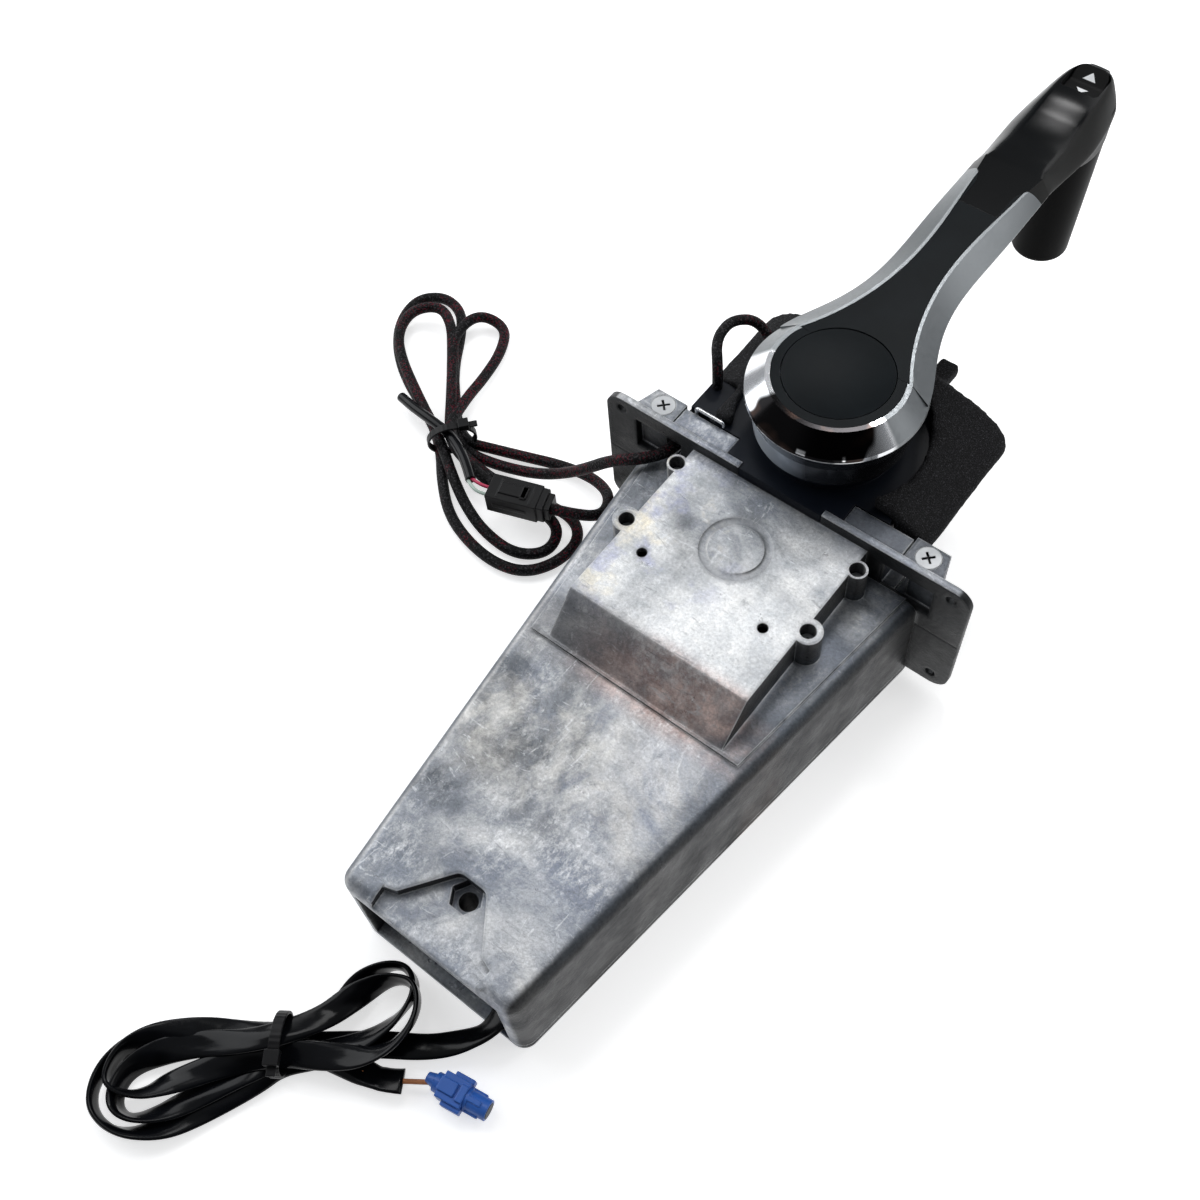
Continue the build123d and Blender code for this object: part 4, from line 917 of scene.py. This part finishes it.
def make_braided_harness():
    connector = blocks("harness_connector", placed(*CONNECTOR_AT), CONNECTOR, BLACK)
    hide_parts("braid_connector")
    tie = cable_tie("harness_tie", (-184, -38, 10.5), (-0.76, 0.65), 12.0, 9.3, 4.2, 1.1, lock=5.5)
    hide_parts("braid_tie")
    strands = cord("harness_braid", BRAID_ROUTE, 5.8, BRAID, length=BRAID_LENGTH, far_end="connector",
                   stiffness="limp", lay="loose", with_pieces=[connector, tie])
    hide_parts("braid_lead", "braid_hank")
    wires = []
    for name, shift, material in (("pink_wire", 2.2, PINK), ("pale_wire", -2.4, PALE)):
        wire = spline(name, [(-155, -56 + shift * 0.4, 18.6), (-150, -57.5 + shift * 0.8, 19.4),
                             (-145, -57.4 + shift, 19.2), (-140.6, -55.6 + shift, 19)], 0.0009)
        wire.data.materials.append(material)
        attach(wire, "housing")
        wires.append(wire)
    cord("harness_tail", TAIL_ROUTE, 5.4, SLEEVE, length=TAIL_LENGTH, far_end="connector",
         stiffness="limp", lay="loose", with_pieces=wires)


def make_sleeved_harness():
    place = placed(*PLUG_AT)
    shell = blocks("blue_plug_shell", place, PLUG_SHELL, BLUE)
    plug = piece("blue_plug", *rods(place, PLUG_BARRELS), BLUE, smooth=False, bevel=0.0003)
    mouth = piece("blue_plug_mouth", *rods(place, PLUG_MOUTH), BLACK, smooth=False)
    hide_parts("blue_connector")
    tie = cable_tie("sleeve_lock", (-35.5, -316.5, 10.4), (0.82, 0.57), 12.5, 9.2, 4.8, 1.2, lock=6.5)
    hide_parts("sleeve_tie")
    sleeve = flat_cord("flat_sleeve", SLEEVE_ROUTE, 11.6, 3.0, SLEEVE, length=SLEEVE_LENGTH, far_end="bare",
                       stiffness="limp", lay="loose", with_pieces=[tie])
    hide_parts("sleeve_lead", "sleeve_hank")
    wire = cord("sensor_wire", WIRE_ROUTE, 2.2, WIRE, length=WIRE_LENGTH, far_end="connector",
                stiffness="limp", lay="loose", with_pieces=[plug, shell, mouth])
    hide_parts("blue_wire")


# ------------------------------------------------------------ floor and light
def make_floor():
    mesh = bpy.data.meshes.new("floor")
    shape = bmesh.new()
    bmesh.ops.create_grid(shape, x_segments=1, y_segments=1, size=4.0)
    shape.to_mesh(mesh)
    shape.free()
    floor = link_object("floor", mesh)
    floor.location.z = -0.0004
    m = Finish("pale_floor", (0.8, 0.8, 0.8), 0.9, specular=0.0)
    mesh.materials.append(m.material)
    lift_background(m.tree, m.shader.outputs[0])


def lift_background(tree, shader):
    """Camera and glossy rays see a white floor that keeps the object's shadow."""
    path = add_node(tree, "ShaderNodeLightPath")
    white = add_node(tree, "ShaderNodeEmission")
    white.inputs["Color"].default_value = (1, 1, 1, 1)
    white.inputs["Strength"].default_value = 0.62
    both = add_node(tree, "ShaderNodeAddShader")
    seen = add_node(tree, "ShaderNodeMath", operation="MAXIMUM")
    pick = add_node(tree, "ShaderNodeMixShader")
    link_all(tree, (path.outputs["Is Camera Ray"], seen.inputs[0]),
             (path.outputs["Is Glossy Ray"], seen.inputs[1]),
             (shader, both.inputs[0]), (white.outputs[0], both.inputs[1]),
             (seen.outputs[0], pick.inputs[0]), (shader, pick.inputs[1]), (both.outputs[0], pick.inputs[2]),
             (pick.outputs[0], tree.nodes["Material Output"].inputs["Surface"]))


def make_world():
    """Pale surroundings with one dark side, which the gloss mirrors, and white behind the object."""
    world = bpy.data.worlds.new("world")
    bpy.context.scene.world = world
    world.use_nodes = True
    tree = world.node_tree
    back = tree.nodes["Background"]
    back.inputs["Color"].default_value = (0.93, 0.96, 1.0, 1)
    way = add_node(tree, "ShaderNodeTexCoord")
    toward = add_node(tree, "ShaderNodeVectorMath", operation="DOT_PRODUCT")
    toward.inputs[1].default_value = (0.59, -0.61, 0.53)
    dark = add_node(tree, "ShaderNodeMapRange", interpolation_type="SMOOTHSTEP")
    for key, value in (("From Min", 0.55), ("From Max", 0.95), ("To Min", 0.34), ("To Max", 0.03)):
        dark.inputs[key].default_value = value
    white = add_node(tree, "ShaderNodeBackground")
    white.inputs["Color"].default_value = (1, 1, 1, 1)
    path = add_node(tree, "ShaderNodeLightPath")
    pick = add_node(tree, "ShaderNodeMixShader")
    link_all(tree, (way.outputs["Generated"], toward.inputs[0]),
             (toward.outputs["Value"], dark.inputs["Value"]),
             (dark.outputs["Result"], back.inputs["Strength"]),
             (path.outputs["Is Camera Ray"], pick.inputs[0]), (back.outputs[0], pick.inputs[1]),
             (white.outputs[0], pick.inputs[2]),
             (pick.outputs[0], tree.nodes["World Output"].inputs["Surface"]))


# name, place, aim, width and height, power, colour
LIGHTS = (
    ("left_box", (-1.7, -0.1, 1.1), (0, -0.05, 0.05), (1.9, 1.6), 20, (0.96, 0.98, 1.0)),
    ("right_box", (1.5, 0.9, 1.3), (0, 0, 0.08), (1.4, 1.4), 8, (1, 1, 1)),
    ("top_box", (-0.53, 0.25, 1.52), (0, 0.1, 0.1), (0.55, 0.55), 3.4, (1, 1, 1)),
    ("head_box", (-0.365, 0.885, 1.425), (0, 0.22, 0.13), (0.2, 0.2), 3.4, (1, 1, 1)),
    ("back_box", (0.3, 1.6, 1.5), (0, -0.05, 0.05), (1.4, 1.4), 11, (1, 1, 1)),
)


def make_lights():
    for name, at, aim, size, power, colour in LIGHTS:
        data = bpy.data.lights.new(name, "AREA")
        data.shape, data.size, data.size_y = "ELLIPSE", *size
        data.energy, data.color = power, colour
        light = link_object(name, data)
        light.location = at
        light.rotation_euler = (Vector(aim) - Vector(at)).to_track_quat("-Z", "Y").to_euler()


make_camera()
finish_nodes()
make_foam()
make_handle()
make_braided_harness()
make_sleeved_harness()
make_floor()
make_world()
make_lights()
bpy.context.scene.view_settings.view_transform = "Standard"
